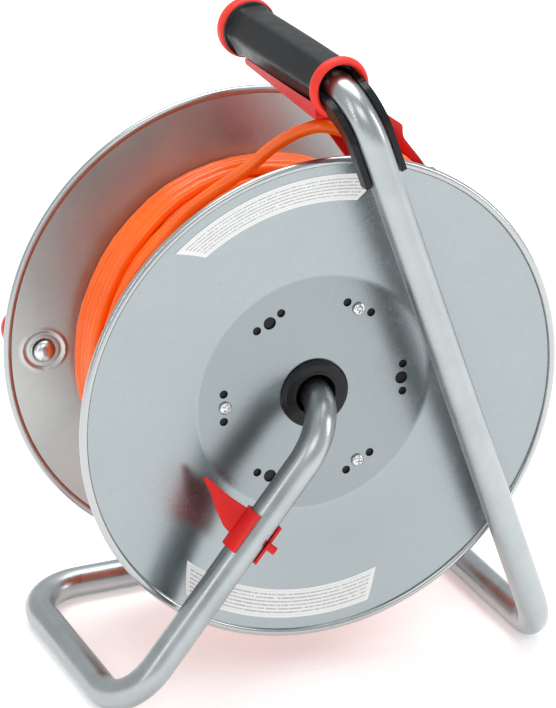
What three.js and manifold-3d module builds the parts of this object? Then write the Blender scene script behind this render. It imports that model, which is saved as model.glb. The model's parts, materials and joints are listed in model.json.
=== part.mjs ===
// Extension cord reel: a sheet steel cable drum turning on a bent steel tube frame.
// Millimetres, +Z up. The floor is z = 0, the drum turns about the Y axis at HUB_HEIGHT,
// +X is to the right of the bare rear disc, and the sockets face +Y.
import * as THREE from "three";
import { mergeVertices } from "three/addons/utils/BufferGeometryUtils.js";
import Module from "manifold-3d";

// ---- Driving dimensions -------------------------------------------------------------
const GAP = 0.3; // left between pieces that touch
const HUB_HEIGHT = 170;

const DISC_RADIUS = 145;
const RIM_HALF = 64.5; // from the middle of the drum to the outside of a rim
const CENTRE_HALF = 49.5; // from the middle of the drum to a disc's flat centre
const CENTRE_RADIUS = 71; // flat centre of a disc, clamped on the core
const SHEET = 1.2;
const BEAD_RADIUS = 2.4; // rolled rim
const FIXING_PITCH = 54; // screws and holes around the hub
const FIXING_COUNT = 3;
const CRANK_RADIUS = 122;
const CRANK_ANGLE = 178.6; // degrees from +X towards +Z

const TUBE_RADIUS = 9; // across the flats of the frame's tube
const TUBE_BORE = 7.5;
const TUBE_SIDES = 12;
const TUBE_CLEAR = 9.75; // bore of whatever fits round the tube

const CORE_RADIUS = 69;
const CORE_WALL = 2.5;
const HUB_BORE = 12.6;

const PLATE_RADIUS = 69;
const PLATE_FACE = 61.5; // front of the socket plate
const SOCKET_COUNT = 3;
const SOCKET_PITCH = 39;
const WELL_RADIUS = 19.7; // a 39 mm plug face fits
const WELL_DEPTH = 17.5;
const PIN_SPACING = 19; // between the two contact holes

const CABLE_RADIUS = 3.75;
const WINDING_RADIUS = 108;
const PLUG_RADIUS = 18;

// Corners of the bent tube, before their bends are rounded.
const LEG_PLANE = -84;
const RISER_PLANE = -90;
const AXLE_END = new THREE.Vector3(0, 16, HUB_HEIGHT);
const LEG_TOP = new THREE.Vector3(0, LEG_PLANE, HUB_HEIGHT);
const FOOT_LEFT = new THREE.Vector3(-130, LEG_PLANE, TUBE_RADIUS);
const BACK_LEFT = new THREE.Vector3(-132, 79, TUBE_RADIUS);
const BACK_RIGHT = new THREE.Vector3(126, 79, TUBE_RADIUS);
const FOOT_RIGHT = new THREE.Vector3(129, RISER_PLANE, TUBE_RADIUS);
const RISER_TOP = new THREE.Vector3(7.6, RISER_PLANE, HUB_HEIGHT + 186);
const GRIP_END = new THREE.Vector3(2, 50, HUB_HEIGHT + 184.3);
const LEG_BEND = 35;
const FOOT_BEND = 34;
const RISER_FOOT_BEND = 27;
const GRIP_BEND = 29;

// ---- Solids -------------------------------------------------------------------------
const wasm = await Module();
wasm.setup();

function toSolid(geometry) {
  const bare = geometry.clone();
  bare.deleteAttribute("normal");
  bare.deleteAttribute("uv");
  const merged = mergeVertices(bare, 1e-4);
  const vertProperties = new Float32Array(merged.attributes.position.array);
  const triVerts = new Uint32Array(merged.index.array);
  return new wasm.Manifold(new wasm.Mesh({ numProp: 3, vertProperties, triVerts }));
}

function toGeometry(solid) {
  const mesh = solid.getMesh();
  const positions = [];
  for (let i = 0; i < mesh.vertProperties.length; i += mesh.numProp) {
    positions.push(mesh.vertProperties[i], mesh.vertProperties[i + 1], mesh.vertProperties[i + 2]);
  }
  const geometry = new THREE.BufferGeometry();
  geometry.setAttribute("position", new THREE.Float32BufferAttribute(positions, 3));
  geometry.setIndex(Array.from(mesh.triVerts));
  return geometry;
}

function cut(geometry, ...tools) {
  let solid = toSolid(geometry);
  for (const tool of tools) solid = solid.subtract(toSolid(tool));
  return toGeometry(solid);
}

function join(geometry, ...others) {
  let solid = toSolid(geometry);
  for (const other of others) solid = solid.add(toSolid(other));
  return toGeometry(solid);
}

// Turns the faces outwards where an outline was given the other way round.
function faceOut(geometry) {
  const solid = geometry.index ? geometry.toNonIndexed() : geometry;
  const p = solid.attributes.position;
  const a = new THREE.Vector3();
  const b = new THREE.Vector3();
  const c = new THREE.Vector3();
  let volume = 0;
  for (let i = 0; i < p.count; i += 3) {
    a.fromBufferAttribute(p, i);
    b.fromBufferAttribute(p, i + 1);
    c.fromBufferAttribute(p, i + 2);
    volume += a.dot(b.cross(c));
  }
  if (volume > 0) return geometry;
  for (let i = 0; i < p.count; i += 3) {
    a.fromBufferAttribute(p, i + 1);
    b.fromBufferAttribute(p, i + 2);
    p.setXYZ(i + 1, b.x, b.y, b.z);
    p.setXYZ(i + 2, a.x, a.y, a.z);
  }
  return solid;
}

// A solid of revolution about Y, from [radius, y] points.
function turned(points, segments = 32) {
  const outline = points.map(([r, y]) => new THREE.Vector2(r, y));
  const onAxis = points[0][0] === 0 && points[points.length - 1][0] === 0;
  if (!onAxis) outline.push(outline[0].clone());
  return faceOut(new THREE.LatheGeometry(outline, segments));
}

function ring(inner, outer, y0, y1, segments = 24) {
  return turned([[inner, y0], [outer, y0], [outer, y1], [inner, y1]], segments);
}

function rod(radius, y0, y1, segments = 16) {
  return new THREE.CylinderGeometry(radius, radius, y1 - y0, segments).translate(0, (y0 + y1) / 2, 0);
}

function block(x0, x1, y0, y1, z0, z1) {
  const box = new THREE.BoxGeometry(x1 - x0, y1 - y0, z1 - z0);
  return box.translate((x0 + x1) / 2, (y0 + y1) / 2, (z0 + z1) / 2);
}

// A flat plate: an outline of [x, z] points, from y0 to y1.
function plate(points, y0, y1) {
  const shape = new THREE.Shape(points.map(([x, z]) => new THREE.Vector2(x, z)));
  const slab = new THREE.ExtrudeGeometry(shape, { depth: y1 - y0, bevelEnabled: false });
  return slab.rotateX(Math.PI / 2).translate(0, y1, 0);
}

// Carries a geometry built about the Y axis to another axis through a point.
function along(geometry, point, direction) {
  const turn = new THREE.Quaternion().setFromUnitVectors(
    new THREE.Vector3(0, 1, 0), direction.clone().normalize());
  return geometry.applyQuaternion(turn).translate(point.x, point.y, point.z);
}

function atAngle(degrees, radius) {
  const angle = THREE.MathUtils.degToRad(degrees);
  return new THREE.Vector3(radius * Math.cos(angle), 0, radius * Math.sin(angle));
}

// ---- Bent tube ----------------------------------------------------------------------
// A path of straight runs and round bends, with one station at each end of a run and a
// few around each bend, so that the extruded tube has no more rings than it needs.
class BentPath extends THREE.Curve {
  constructor(corners, radii, bendSteps) {
    super();
    this.stations = [];
    this.tangents = [];
    corners.forEach((corner, i) => {
      if (i === 0 || i === corners.length - 1) {
        const other = corners[i === 0 ? 1 : i - 1];
        const tangent = corner.clone().sub(other).normalize();
        this.addStation(corner, i === 0 ? tangent.negate() : tangent);
        return;
      }
      this.addBend(corners[i - 1], corner, corners[i + 1], radii[i - 1], bendSteps);
    });
  }

  addStation(point, tangent) {
    this.stations.push(point.clone());
    this.tangents.push(tangent.clone());
  }

  addBend(before, corner, after, radius, steps) {
    const back = before.clone().sub(corner).normalize();
    const on = after.clone().sub(corner).normalize();
    const turn = Math.PI - back.angleTo(on);
    const reach = radius * Math.tan(turn / 2);
    const inward = back.clone().add(on).normalize();
    const centre = corner.clone().addScaledVector(inward, radius / Math.cos(turn / 2));
    const first = corner.clone().addScaledVector(back, reach).sub(centre);
    const forward = back.clone().negate().multiplyScalar(radius);
    for (let k = 0; k <= steps; k++) {
      const angle = (turn * k) / steps;
      const arm = first.clone().multiplyScalar(Math.cos(angle)).addScaledVector(forward, Math.sin(angle));
      const heading = forward.clone().multiplyScalar(Math.cos(angle));
      heading.addScaledVector(first, -Math.sin(angle));
      this.addStation(centre.clone().add(arm), heading.normalize());
    }
  }

  getPoint(t, target = new THREE.Vector3()) {
    const place = t * (this.stations.length - 1);
    const i = Math.min(Math.floor(place + 1e-6), this.stations.length - 2);
    return target.lerpVectors(this.stations[i], this.stations[i + 1], place - i);
  }

  getPointAt(u, target) {
    return this.getPoint(u, target);
  }

  getTangentAt(u, target = new THREE.Vector3()) {
    return target.copy(this.tangents[Math.round(u * (this.tangents.length - 1))]);
  }
}

const FRAME_CORNERS = [AXLE_END, LEG_TOP, FOOT_LEFT, BACK_LEFT, BACK_RIGHT, FOOT_RIGHT, RISER_TOP,
  GRIP_END];
const FRAME_BENDS = [LEG_BEND, FOOT_BEND, FOOT_BEND, FOOT_BEND, RISER_FOOT_BEND, GRIP_BEND];
const BEND_STEPS = 5;
const framePath = new BentPath(FRAME_CORNERS, FRAME_BENDS, BEND_STEPS);
const LEG_DIRECTION = FOOT_LEFT.clone().sub(LEG_TOP).normalize();
const GRIP_DIRECTION = GRIP_END.clone().sub(RISER_TOP).normalize();
const RISER_DIRECTION = RISER_TOP.clone().sub(FOOT_RIGHT).normalize();

function polygonShape(sides, flatRadius, turn) {
  const reach = flatRadius / Math.cos(Math.PI / sides);
  const shape = new THREE.Shape();
  for (let k = 0; k < sides; k++) {
    const angle = turn + ((k + 0.5) * 2 * Math.PI) / sides;
    const point = [reach * Math.cos(angle), reach * Math.sin(angle)];
    if (k === 0) shape.moveTo(...point);
    else shape.lineTo(...point);
  }
  return shape;
}

function sweep(path, radius, bore, sides, turn = 0) {
  const steps = path.stations.length - 1;
  const shape = polygonShape(sides, radius, turn);
  if (bore > 0) shape.holes.push(polygonShape(sides, bore, turn));
  return faceOut(new THREE.ExtrudeGeometry(shape, { steps, extrudePath: path, bevelEnabled: false }));
}

// The section is turned so that one of its flats lies on the floor under the back rail.
function frameTurn() {
  const steps = framePath.stations.length - 1;
  const frames = framePath.computeFrenetFrames(steps, false);
  const onRail = 4 + 3 * BEND_STEPS;
  return Math.atan2(-frames.binormals[onRail].z, -frames.normals[onRail].z);
}

const frameTube = () => sweep(framePath, TUBE_RADIUS, TUBE_BORE, TUBE_SIDES, frameTurn());

// The space that the pieces round the riser and the grip leave for the tube.
function tubeClearance() {
  const end = GRIP_END.clone().addScaledVector(GRIP_DIRECTION, 3);
  const path = new BentPath([FOOT_RIGHT, RISER_TOP, end], [GRIP_BEND], 7);
  return sweep(path, TUBE_CLEAR - 0.1, 0, 16);
}

// ---- Axle ---------------------------------------------------------------------------
const WASHER_Y = 8.4;
const axleWasher = () => ring(TUBE_CLEAR, 15, WASHER_Y, WASHER_Y + 1.8);

function axleClip() {
  const clip = ring(TUBE_CLEAR, 13.2, WASHER_Y + 2.2, WASHER_Y + 3.7);
  return cut(clip, block(-3, 3, WASHER_Y, WASHER_Y + 6, -20, -5));
}

// ---- Grip ---------------------------------------------------------------------------
const GRIP_RADIUS = 14;
const RING_RADIUS = 17.5;
const GRIP_START = 27; // from the riser's top corner along the grip
const GRIP_LENGTH = 107;
const gripPoint = (distance) => RISER_TOP.clone().addScaledVector(GRIP_DIRECTION, distance);
const onGrip = (geometry) => along(geometry, RISER_TOP, GRIP_DIRECTION);

// Red shell under the grip, from above the hub, and the two screws that hold it there.
const SHELL_OUTLINE = [[-62.5, 167], [37, 168], [37, 176], [-62.5, 184]]; // [y, z above the hub]
const SHELL_LEFT = -5;
const SHELL_WIDTH = 18;
const GUIDE_SCREWS = [-52, 16]; // y of each
const GUIDE_SCREW_X = 4;
const guideScrewPlace = (y) => new THREE.Vector3(GUIDE_SCREW_X, y, HUB_HEIGHT + undersideZ(y));

function undersideZ(y) {
  const [[y0, z0], [y1, z1]] = SHELL_OUTLINE;
  return z0 + ((y - y0) / (y1 - y0)) * (z1 - z0);
}

function guideScrewHole(y) {
  return along(rod(1.9, -5, 30, 10), guideScrewPlace(y), new THREE.Vector3(0, 0, 1));
}

function gripSleeve() {
  const end = GRIP_START + GRIP_LENGTH;
  const sleeve = turned([[TUBE_CLEAR, GRIP_START], [GRIP_RADIUS, GRIP_START],
    [GRIP_RADIUS + 0.6, GRIP_START + 50], [GRIP_RADIUS, end], [TUBE_CLEAR, end]], 16);
  return cut(onGrip(sleeve), tubeClearance(), ...GUIDE_SCREWS.map(guideScrewHole));
}

const RING_START = GRIP_START - GAP - 7.5;

function gripFrontRing() {
  const end = GRIP_START - GAP;
  const bore = 13.2;
  const bulge = turned([[bore, RING_START + 1.5], [RING_RADIUS - 2.2, RING_START],
    [RING_RADIUS, RING_START + 3], [RING_RADIUS - 0.5, end - 1.5], [GRIP_RADIUS, end], [bore, end]], 28);
  return cut(onGrip(bulge), tubeClearance());
}

function gripEndCollar() {
  const start = GRIP_START + GRIP_LENGTH + GAP;
  return onGrip(turned([[TUBE_CLEAR, start], [GRIP_RADIUS + 1, start], [GRIP_RADIUS + 2, start + 3],
    [TUBE_CLEAR, start + 3]], 24));
}

function gripEndCap() {
  const start = GRIP_START + GRIP_LENGTH + 3 + 2 * GAP;
  return onGrip(turned([[TUBE_CLEAR, start], [RING_RADIUS - 1, start], [RING_RADIUS, start + 3],
    [RING_RADIUS - 2, start + 8], [11, start + 11.5], [0, start + 13], [0, start + 10.5],
    [TUBE_CLEAR, start + 10]], 28));
}

// The black saddle that keys the grip to the tube: a channel inside the front ring whose
// two cheeks run down the sides of the bend and end as prongs on the riser.
const CHEEK_OUTER = 12.9;
const SADDLE_IN = 12.6; // behind the tube's centre line
const SADDLE_OUT = 2.5; // in front of it
const PRONG_DEPTH = 4.5; // behind it, where the prongs are thinnest
const PRONG_END = 50; // below the riser's top corner

function gripSaddle() {
  const path = new BentPath([
    RISER_TOP.clone().addScaledVector(RISER_DIRECTION, -PRONG_END), RISER_TOP,
    gripPoint(GRIP_START - GAP)], [GRIP_BEND - 3], 6);
  const side = new THREE.Vector3().crossVectors(RISER_DIRECTION, GRIP_DIRECTION).normalize();
  const outside = [];
  const inside = [];
  path.stations.forEach((point, i) => {
    const out = new THREE.Vector3().crossVectors(path.tangents[i], side).normalize();
    const round = Math.max(0, i - 1) / (path.stations.length - 2);
    outside.push(point.clone().addScaledVector(out, SADDLE_OUT));
    inside.push(point.clone().addScaledVector(out, -PRONG_DEPTH - (SADDLE_IN - PRONG_DEPTH) * round));
  });
  const up = RISER_DIRECTION.clone();
  const across = new THREE.Vector3().crossVectors(side, up).normalize();
  const flat = (point) => {
    const arm = point.clone().sub(RISER_TOP);
    return new THREE.Vector2(arm.dot(across), arm.dot(up));
  };
  const outline = [...outside, ...inside.reverse()].map(flat);
  const depth = 2 * CHEEK_OUTER;
  const slab = new THREE.ExtrudeGeometry(new THREE.Shape(outline), { depth, bevelEnabled: false });
  slab.translate(0, 0, -CHEEK_OUTER);
  slab.applyMatrix4(new THREE.Matrix4().makeBasis(across, up, side));
  slab.translate(RISER_TOP.x, RISER_TOP.y, RISER_TOP.z);
  const mouth = onGrip(ring(12.9, 40, -60, GRIP_START, 28));
  const keep = onGrip(block(-40, 40, RING_START - 60, RING_START - GAP, -90, 40));
  const inRing = cut(mouth, keep);
  return cut(faceOut(slab), tubeClearance(), inRing);
}

// ---- Cable guide --------------------------------------------------------------------
// One red moulding: a tapered shell under the grip, an arm between the discs, an eye that
// the lead passes through, and a clip that holds the parked plug by its neck.
const ARM_FRONT = -32;
const ARM_BACK = -28.5;
const ARM_OUTLINE = [[-4, 172], [-4, 168.5], [2.2, 161.3], [10.7, 153.1], [18, 144.4], [27.2, 130.7],
  [37, 119], [52, 108], [64, 101], [71, 108], [76.5, 117.5], [61.5, 138.3], [61.5, 145], [58, 147.5],
  [51, 153], [30, 166], [22, 172]];
const EYE_BORE = 5.2;
const EYE_OUTER = 8;
const EYE_HALF = 3;
const NECK_CLIP_BORE = 7.4;
const NECK_CLIP_OUTER = 10.4;
const NECK_CLIP = [-37, -29]; // along the plug
const EYE = new THREE.Vector3(30, -48, HUB_HEIGHT + 147);
const EYE_DIRECTION = new THREE.Vector3(0.82, 0, -0.57);
const PLUG_DIRECTION = new THREE.Vector3(0.66, 0, -0.751).normalize();
const PLUG_CENTRE = new THREE.Vector3(95.4, -38, HUB_HEIGHT + 84.2);
const plugPoint = (distance) => PLUG_CENTRE.clone().addScaledVector(PLUG_DIRECTION, distance);
const onPlug = (geometry) => along(geometry, PLUG_CENTRE, PLUG_DIRECTION);

function cableGuide() {
  const shape = new THREE.Shape(SHELL_OUTLINE.map(([y, z]) => new THREE.Vector2(y, z)));
  const shell = new THREE.ExtrudeGeometry(shape, { depth: SHELL_WIDTH, bevelEnabled: false });
  shell.applyMatrix4(new THREE.Matrix4().makeBasis(
    new THREE.Vector3(0, 1, 0), new THREE.Vector3(0, 0, 1), new THREE.Vector3(1, 0, 0)));
  shell.translate(SHELL_LEFT, 0, HUB_HEIGHT);
  const arm = plate(ARM_OUTLINE.map(([x, z]) => [x, z + HUB_HEIGHT]), ARM_FRONT, ARM_BACK);
  const eye = along(ring(EYE_BORE, EYE_OUTER, -EYE_HALF, EYE_HALF, 16), EYE, EYE_DIRECTION);
  const eyeStalk = block(EYE.x - 4, EYE.x + 4, EYE.y + 5.8, ARM_FRONT + 1, EYE.z - 4, EYE.z + 4);
  const clip = onPlug(ring(NECK_CLIP_BORE, NECK_CLIP_OUTER, ...NECK_CLIP, 16));
  const bore = onPlug(rod(NECK_CLIP_BORE, -60, -20, 16));
  const solid = join(shell, arm, eye, eyeStalk, clip);
  const gripSpace = onGrip(rod(RING_RADIUS + GAP, 0, GRIP_START, 28));
  const sleeveSpace = onGrip(rod(GRIP_RADIUS + 1, GRIP_START - 1, GRIP_START + GRIP_LENGTH + 20, 24));
  return cut(solid, bore, gripSpace, sleeveSpace, ...GUIDE_SCREWS.map(guideScrewHole));
}

function guideScrew(y) {
  const place = guideScrewPlace(y);
  const tip = HUB_HEIGHT + 186 - TUBE_CLEAR - 0.8 - place.z;
  const screw = join(rod(3.3, -2.2, -0.6, 12), rod(1.5, -1, tip, 10));
  return along(screw, place, new THREE.Vector3(0, 0, 1));
}

// ---- Brake clip ---------------------------------------------------------------------
// A clip sprung round the left leg. Its blade is swung against the rear disc to hold it.
const CLIP_START = 70; // from the leg's top corner down the leg
const CLIP_END = 95;
const CLIP_OUTER = 11.5;
const CLIP_OPEN_FROM = -62; // the opening, in degrees from straight out towards the left
const CLIP_OPEN_TO = 45;
const BLADE_ANGLE = 120;
const BLADE_THICK = 2.2;
// The blade, [out from the leg's axis, down the leg].
const BLADE_OUTLINE = [[9, 71.5], [22, 72], [39, 70.5], [41, 72], [33, 76], [26, 81.5], [16, 87.5],
  [9, 89]];
const CLIP_KNOB = { radius: 2.4, reach: 16, down: 82.5, angle: -59 };
const CLIP_GUSSET = { radius: 3, reach: 14, down: 76, angle: 146 };
const CLIP_STUB_START = 9.9;

function clipStub({ radius, reach, down, angle }) {
  return along(rod(radius, CLIP_STUB_START, reach, 12), new THREE.Vector3(0, -down, 0), atAngle(angle, 1));
}

function brakeClip() {
  const outward = new THREE.Vector3(0, -1, 0);
  const upward = LEG_DIRECTION.clone().negate();
  const leftward = outward.clone().cross(upward);
  const middle = THREE.MathUtils.degToRad((CLIP_OPEN_FROM + CLIP_OPEN_TO) / 2);
  const half = THREE.MathUtils.degToRad((CLIP_OPEN_TO - CLIP_OPEN_FROM) / 2);
  const body = ring(TUBE_CLEAR, CLIP_OUTER, -CLIP_END, -CLIP_START, 28);
  const reach = 30;
  const corner = (angle, length) => new THREE.Vector2(length * Math.cos(angle), length * Math.sin(angle));
  const wedge = new THREE.Shape([new THREE.Vector2(0, 0), corner(middle - half, reach),
    corner(middle, reach / Math.cos(half)), corner(middle + half, reach)]);
  const opening = new THREE.ExtrudeGeometry(wedge, { depth: 60, bevelEnabled: false });
  // In the clip's own frame x points straight out (-Y), z to the left and y up the leg.
  opening.rotateX(Math.PI / 2).translate(0, -CLIP_START + 15, 0);
  const collar = cut(body, faceOut(opening));
  const bladeShape = new THREE.Shape(BLADE_OUTLINE.map(([out, down]) => new THREE.Vector2(out, -down)));
  const blade = new THREE.ExtrudeGeometry(bladeShape, { depth: BLADE_THICK, bevelEnabled: false });
  blade.translate(0, 0, -BLADE_THICK / 2).rotateY(-THREE.MathUtils.degToRad(BLADE_ANGLE));
  const knob = clipStub(CLIP_KNOB);
  const gusset = clipStub(CLIP_GUSSET);
  const bore = rod(TUBE_CLEAR, -CLIP_END - 5, -CLIP_START + 5, 28);
  const clip = cut(join(collar, blade, knob, gusset), bore);
  clip.applyMatrix4(new THREE.Matrix4().makeBasis(outward, upward, leftward));
  return clip.translate(LEG_TOP.x, LEG_TOP.y, LEG_TOP.z);
}

// ---- Drum, in its own frame: the middle of the axle is the origin --------------------
const SLOPE_END = DISC_RADIUS - 4.6;
const BEAD_Y = RIM_HALF - 1.1;
const BEAD_POINTS = 5;
const CRANK = atAngle(CRANK_ANGLE, CRANK_RADIUS);
const SEAT_Y = 57.4;

// Inside face of the front disc's cone at a given radius.
function coneY(radius) {
  const run = (radius - CENTRE_RADIUS) / (SLOPE_END - CENTRE_RADIUS);
  return CENTRE_HALF + Math.max(0, run) * (BEAD_Y - 1 - CENTRE_HALF);
}

function discProfile(innerRadius) {
  const points = [[innerRadius, CENTRE_HALF], [CENTRE_RADIUS, CENTRE_HALF], [SLOPE_END, coneY(SLOPE_END)]];
  const beadCentre = DISC_RADIUS - BEAD_RADIUS;
  for (let k = 0; k < BEAD_POINTS; k++) {
    const angle = THREE.MathUtils.degToRad(-135 + (270 * k) / (BEAD_POINTS - 1));
    points.push([beadCentre + BEAD_RADIUS * Math.cos(angle), BEAD_Y + BEAD_RADIUS * Math.sin(angle)]);
  }
  points.push([SLOPE_END, coneY(SLOPE_END) + SHEET], [CENTRE_RADIUS, CENTRE_HALF + SHEET]);
  points.push([innerRadius, CENTRE_HALF + SHEET]);
  return points;
}

function rearDisc() {
  const profile = discProfile(HUB_BORE + 1).map(([r, y]) => [r, -y]);
  const holes = [];
  for (let k = 0; k < 2 * FIXING_COUNT; k++) {
    const isScrew = k % 2 === 1;
    const centre = 60 * k;
    const small = 8.7; // degrees either side
    holes.push([centre, FIXING_PITCH, isScrew ? 2.2 : 3.75]);
    holes.push([centre - small, FIXING_PITCH + 1.5, 2.5], [centre + small, FIXING_PITCH + 1.5, 2.5]);
  }
  const drills = holes.map(([angle, pitch, radius]) => {
    const place = atAngle(angle, pitch);
    return rod(radius, -CENTRE_HALF - 3, -CENTRE_HALF + 2, 8).translate(place.x, 0, place.z);
  });
  return cut(turned(profile, 40), ...drills);
}

function frontDisc() {
  const disc = turned(discProfile(62.5), 40);
  const seat = rod(12.5, SEAT_Y, 61.5, 20).translate(CRANK.x, 0, CRANK.z);
  const hollow = rod(11, SEAT_Y + SHEET, 64, 20).translate(CRANK.x, 0, CRANK.z);
  const hole = rod(4.4, SEAT_Y - 2, 66, 16).translate(CRANK.x, 0, CRANK.z);
  return cut(join(disc, seat), hollow, hole);
}

// Black moulded spool: outer wall, rear wall, hub tube and three screw posts.
const CORE_END = CENTRE_HALF - GAP;
const GLAND = atAngle(250, CORE_RADIUS);
const GLAND_Y = -36;

function drumCore() {
  const rear = -CORE_END;
  const wall = rear + CORE_WALL;
  const body = turned([[HUB_BORE, rear], [CORE_RADIUS, rear], [CORE_RADIUS, CORE_END],
    [CORE_RADIUS - CORE_WALL, CORE_END], [CORE_RADIUS - CORE_WALL, wall], [HUB_BORE + 3, wall],
    [HUB_BORE + 3, WASHER_Y - GAP], [HUB_BORE, WASHER_Y - GAP]], 36);
  const posts = [];
  const drills = [];
  for (let k = 0; k < FIXING_COUNT; k++) {
    const place = atAngle(60 + 120 * k, FIXING_PITCH);
    posts.push(rod(5, rear + 1, CORE_END, 12).translate(place.x, 0, place.z));
    drills.push(rod(1.9, rear - 1, rear + 14, 10).translate(place.x, 0, place.z));
    drills.push(rod(1.9, CORE_END - 14, CORE_END + 1, 10).translate(place.x, 0, place.z));
  }
  const glandHole = along(rod(5.6, -8, 8, 16), new THREE.Vector3(GLAND.x, GLAND_Y, GLAND.z), GLAND);
  return cut(join(body, ...posts), ...drills, glandHole);
}

// Flanged bush in the rear disc, and a plain one at the far end of the hub tube.
const REAR_FLANGE_Y = -CENTRE_HALF - SHEET - GAP;

function rearBush() {
  const face = REAR_FLANGE_Y - 2.4;
  return turned([[TUBE_CLEAR + 1.4, face], [18.6, face], [20.3, face + 1.2], [20.3, REAR_FLANGE_Y],
    [HUB_BORE - GAP, REAR_FLANGE_Y], [HUB_BORE - GAP, -30], [TUBE_CLEAR, -30],
    [TUBE_CLEAR, -45]], 32);
}

const innerBush = () => ring(TUBE_CLEAR, HUB_BORE - GAP, -8, WASHER_Y - GAP - 0.1);

function drumScrew(headY, outward) {
  const tip = headY - 10 * outward;
  const top = headY + 2 * outward;
  const shank = rod(SCREW_SHANK, Math.min(headY, tip), Math.max(headY, tip), 10);
  const crown = rod(SCREW_HEAD, Math.min(headY, top), Math.max(headY, top), 14);
  const slotY = headY + 1.6 * outward;
  const slot = (x, z) => block(-x, x, slotY - 0.8, slotY + 0.8, -z, z);
  return cut(join(shank, crown), slot(2, 0.5), slot(0.5, 2));
}

// ---- Sockets ------------------------------------------------------------------------
const CUTOUT_RADIUS = 10.7;
const WELL_OUTER = WELL_RADIUS + 2.3;
const FLANGE_RADIUS = 24.5;
const FLANGE_Y = PLATE_FACE + GAP;
const FLANGE_TOP = FLANGE_Y + 1.5;
const WELL_FLOOR = FLANGE_TOP - WELL_DEPTH;
const WELL_BACK = WELL_FLOOR - 3;
const HINGE_OUT = 25.6;
const HINGE_Y = FLANGE_TOP + 2.8;
const HINGE_PIN = 1;
const LUG_FROM = 6.6;
const LUG_TO = 9.4;
const PIN_HOLE = 2.9;
const SLEEVE_BOSS = 4.8;
const SLEEVE_BORE = 3.9;
const SCREW_HEAD = 3.7;
const SCREW_SHANK = 1.5;
const SCREW_HOLE = 2;
const HEAD_POCKET = 4.4;
const HEAD_DEPTH = 3;
const STRAP_OUT = 19; // from the middle of a socket to each earth clip
const STRAP_WIDTH = 4;
const STRAP_THICK = 1.4;
const socketAngle = (k) => k * (360 / SOCKET_COUNT);

function plateScrew() {
  const head = PLATE_FACE - HEAD_DEPTH + GAP;
  const slot = (x, z) => block(-x, x, head + 0.8, head + 3, -z, z);
  const solid = join(rod(SCREW_SHANK, CORE_END - 8, head, 10), rod(SCREW_HEAD, head, head + 2, 14));
  return cut(solid, slot(2, 0.5), slot(0.5, 2));
}

function socketPlate() {
  const back = CENTRE_HALF + SHEET + GAP;
  const body = turned([[0, back], [PLATE_RADIUS, back], [PLATE_RADIUS, PLATE_FACE - 3],
    [PLATE_RADIUS - 2.5, PLATE_FACE], [0, PLATE_FACE]], 36);
  const holes = [rod(CUTOUT_RADIUS + GAP, back - 2, PLATE_FACE + 2, 24)];
  for (let k = 0; k < SOCKET_COUNT; k++) {
    const well = atAngle(socketAngle(k), SOCKET_PITCH);
    holes.push(rod(WELL_OUTER + 0.5, back - 2, PLATE_FACE + 2, 24).translate(well.x, 0, well.z));
    const screw = atAngle(socketAngle(k) + 60, FIXING_PITCH);
    holes.push(rod(SCREW_HOLE, back - 2, PLATE_FACE + 2, 12).translate(screw.x, 0, screw.z));
    const pocket = rod(HEAD_POCKET, PLATE_FACE - HEAD_DEPTH, PLATE_FACE + 2, 14);
    holes.push(pocket.translate(screw.x, 0, screw.z));
  }
  return cut(body, ...holes);
}

// Each socket is drawn with its centre on the Y axis and its hinge towards +X.
function socketWell() {
  const cup = turned([[0, WELL_BACK], [WELL_OUTER, WELL_BACK], [WELL_OUTER, FLANGE_Y],
    [FLANGE_RADIUS, FLANGE_Y], [FLANGE_RADIUS, FLANGE_TOP - 0.5], [FLANGE_RADIUS - 0.5, FLANGE_TOP],
    [WELL_RADIUS, FLANGE_TOP], [WELL_RADIUS, WELL_FLOOR], [0, WELL_FLOOR]], 22);
  const extras = [];
  const cuts = [];
  const slotX = STRAP_THICK / 2 + 0.4;
  const slotZ = STRAP_WIDTH / 2 + 0.6;
  for (const side of [-1, 1]) {
    const lugEnds = [side * LUG_FROM, side * LUG_TO].sort((a, b) => a - b);
    const pin = (side * PIN_SPACING) / 2;
    const strap = side * STRAP_OUT;
    extras.push(block(20.5, HINGE_OUT + 2, FLANGE_Y, HINGE_Y + 2, ...lugEnds));
    extras.push(rod(SLEEVE_BOSS, WELL_BACK - 9, WELL_BACK + 1, 14).translate(0, 0, pin));
    cuts.push(rod(PIN_HOLE, WELL_BACK - 2, WELL_FLOOR + 1, 12).translate(0, 0, pin));
    cuts.push(rod(SLEEVE_BORE, WELL_BACK - 12, WELL_BACK - 0.2, 12).translate(0, 0, pin));
    cuts.push(block(strap - slotX, strap + slotX, WELL_BACK - 2, FLANGE_TOP - 1.6, -slotZ, slotZ));
  }
  cuts.push(hingeRod(HINGE_PIN + GAP, 12));
  cuts.push(rod(WELL_RADIUS, WELL_FLOOR, FLANGE_TOP + 5, 22));
  return cut(join(cup, ...extras), ...cuts);
}

function hingeRod(radius, half) {
  return rod(radius, -half, half, 12).rotateX(Math.PI / 2).translate(HINGE_OUT, HINGE_Y, 0);
}

function contactSleeve(side) {
  return ring(2.5, 3.5, WELL_BACK - 17, WELL_BACK - 0.6, 12).translate(0, 0, (side * PIN_SPACING) / 2);
}

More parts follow.
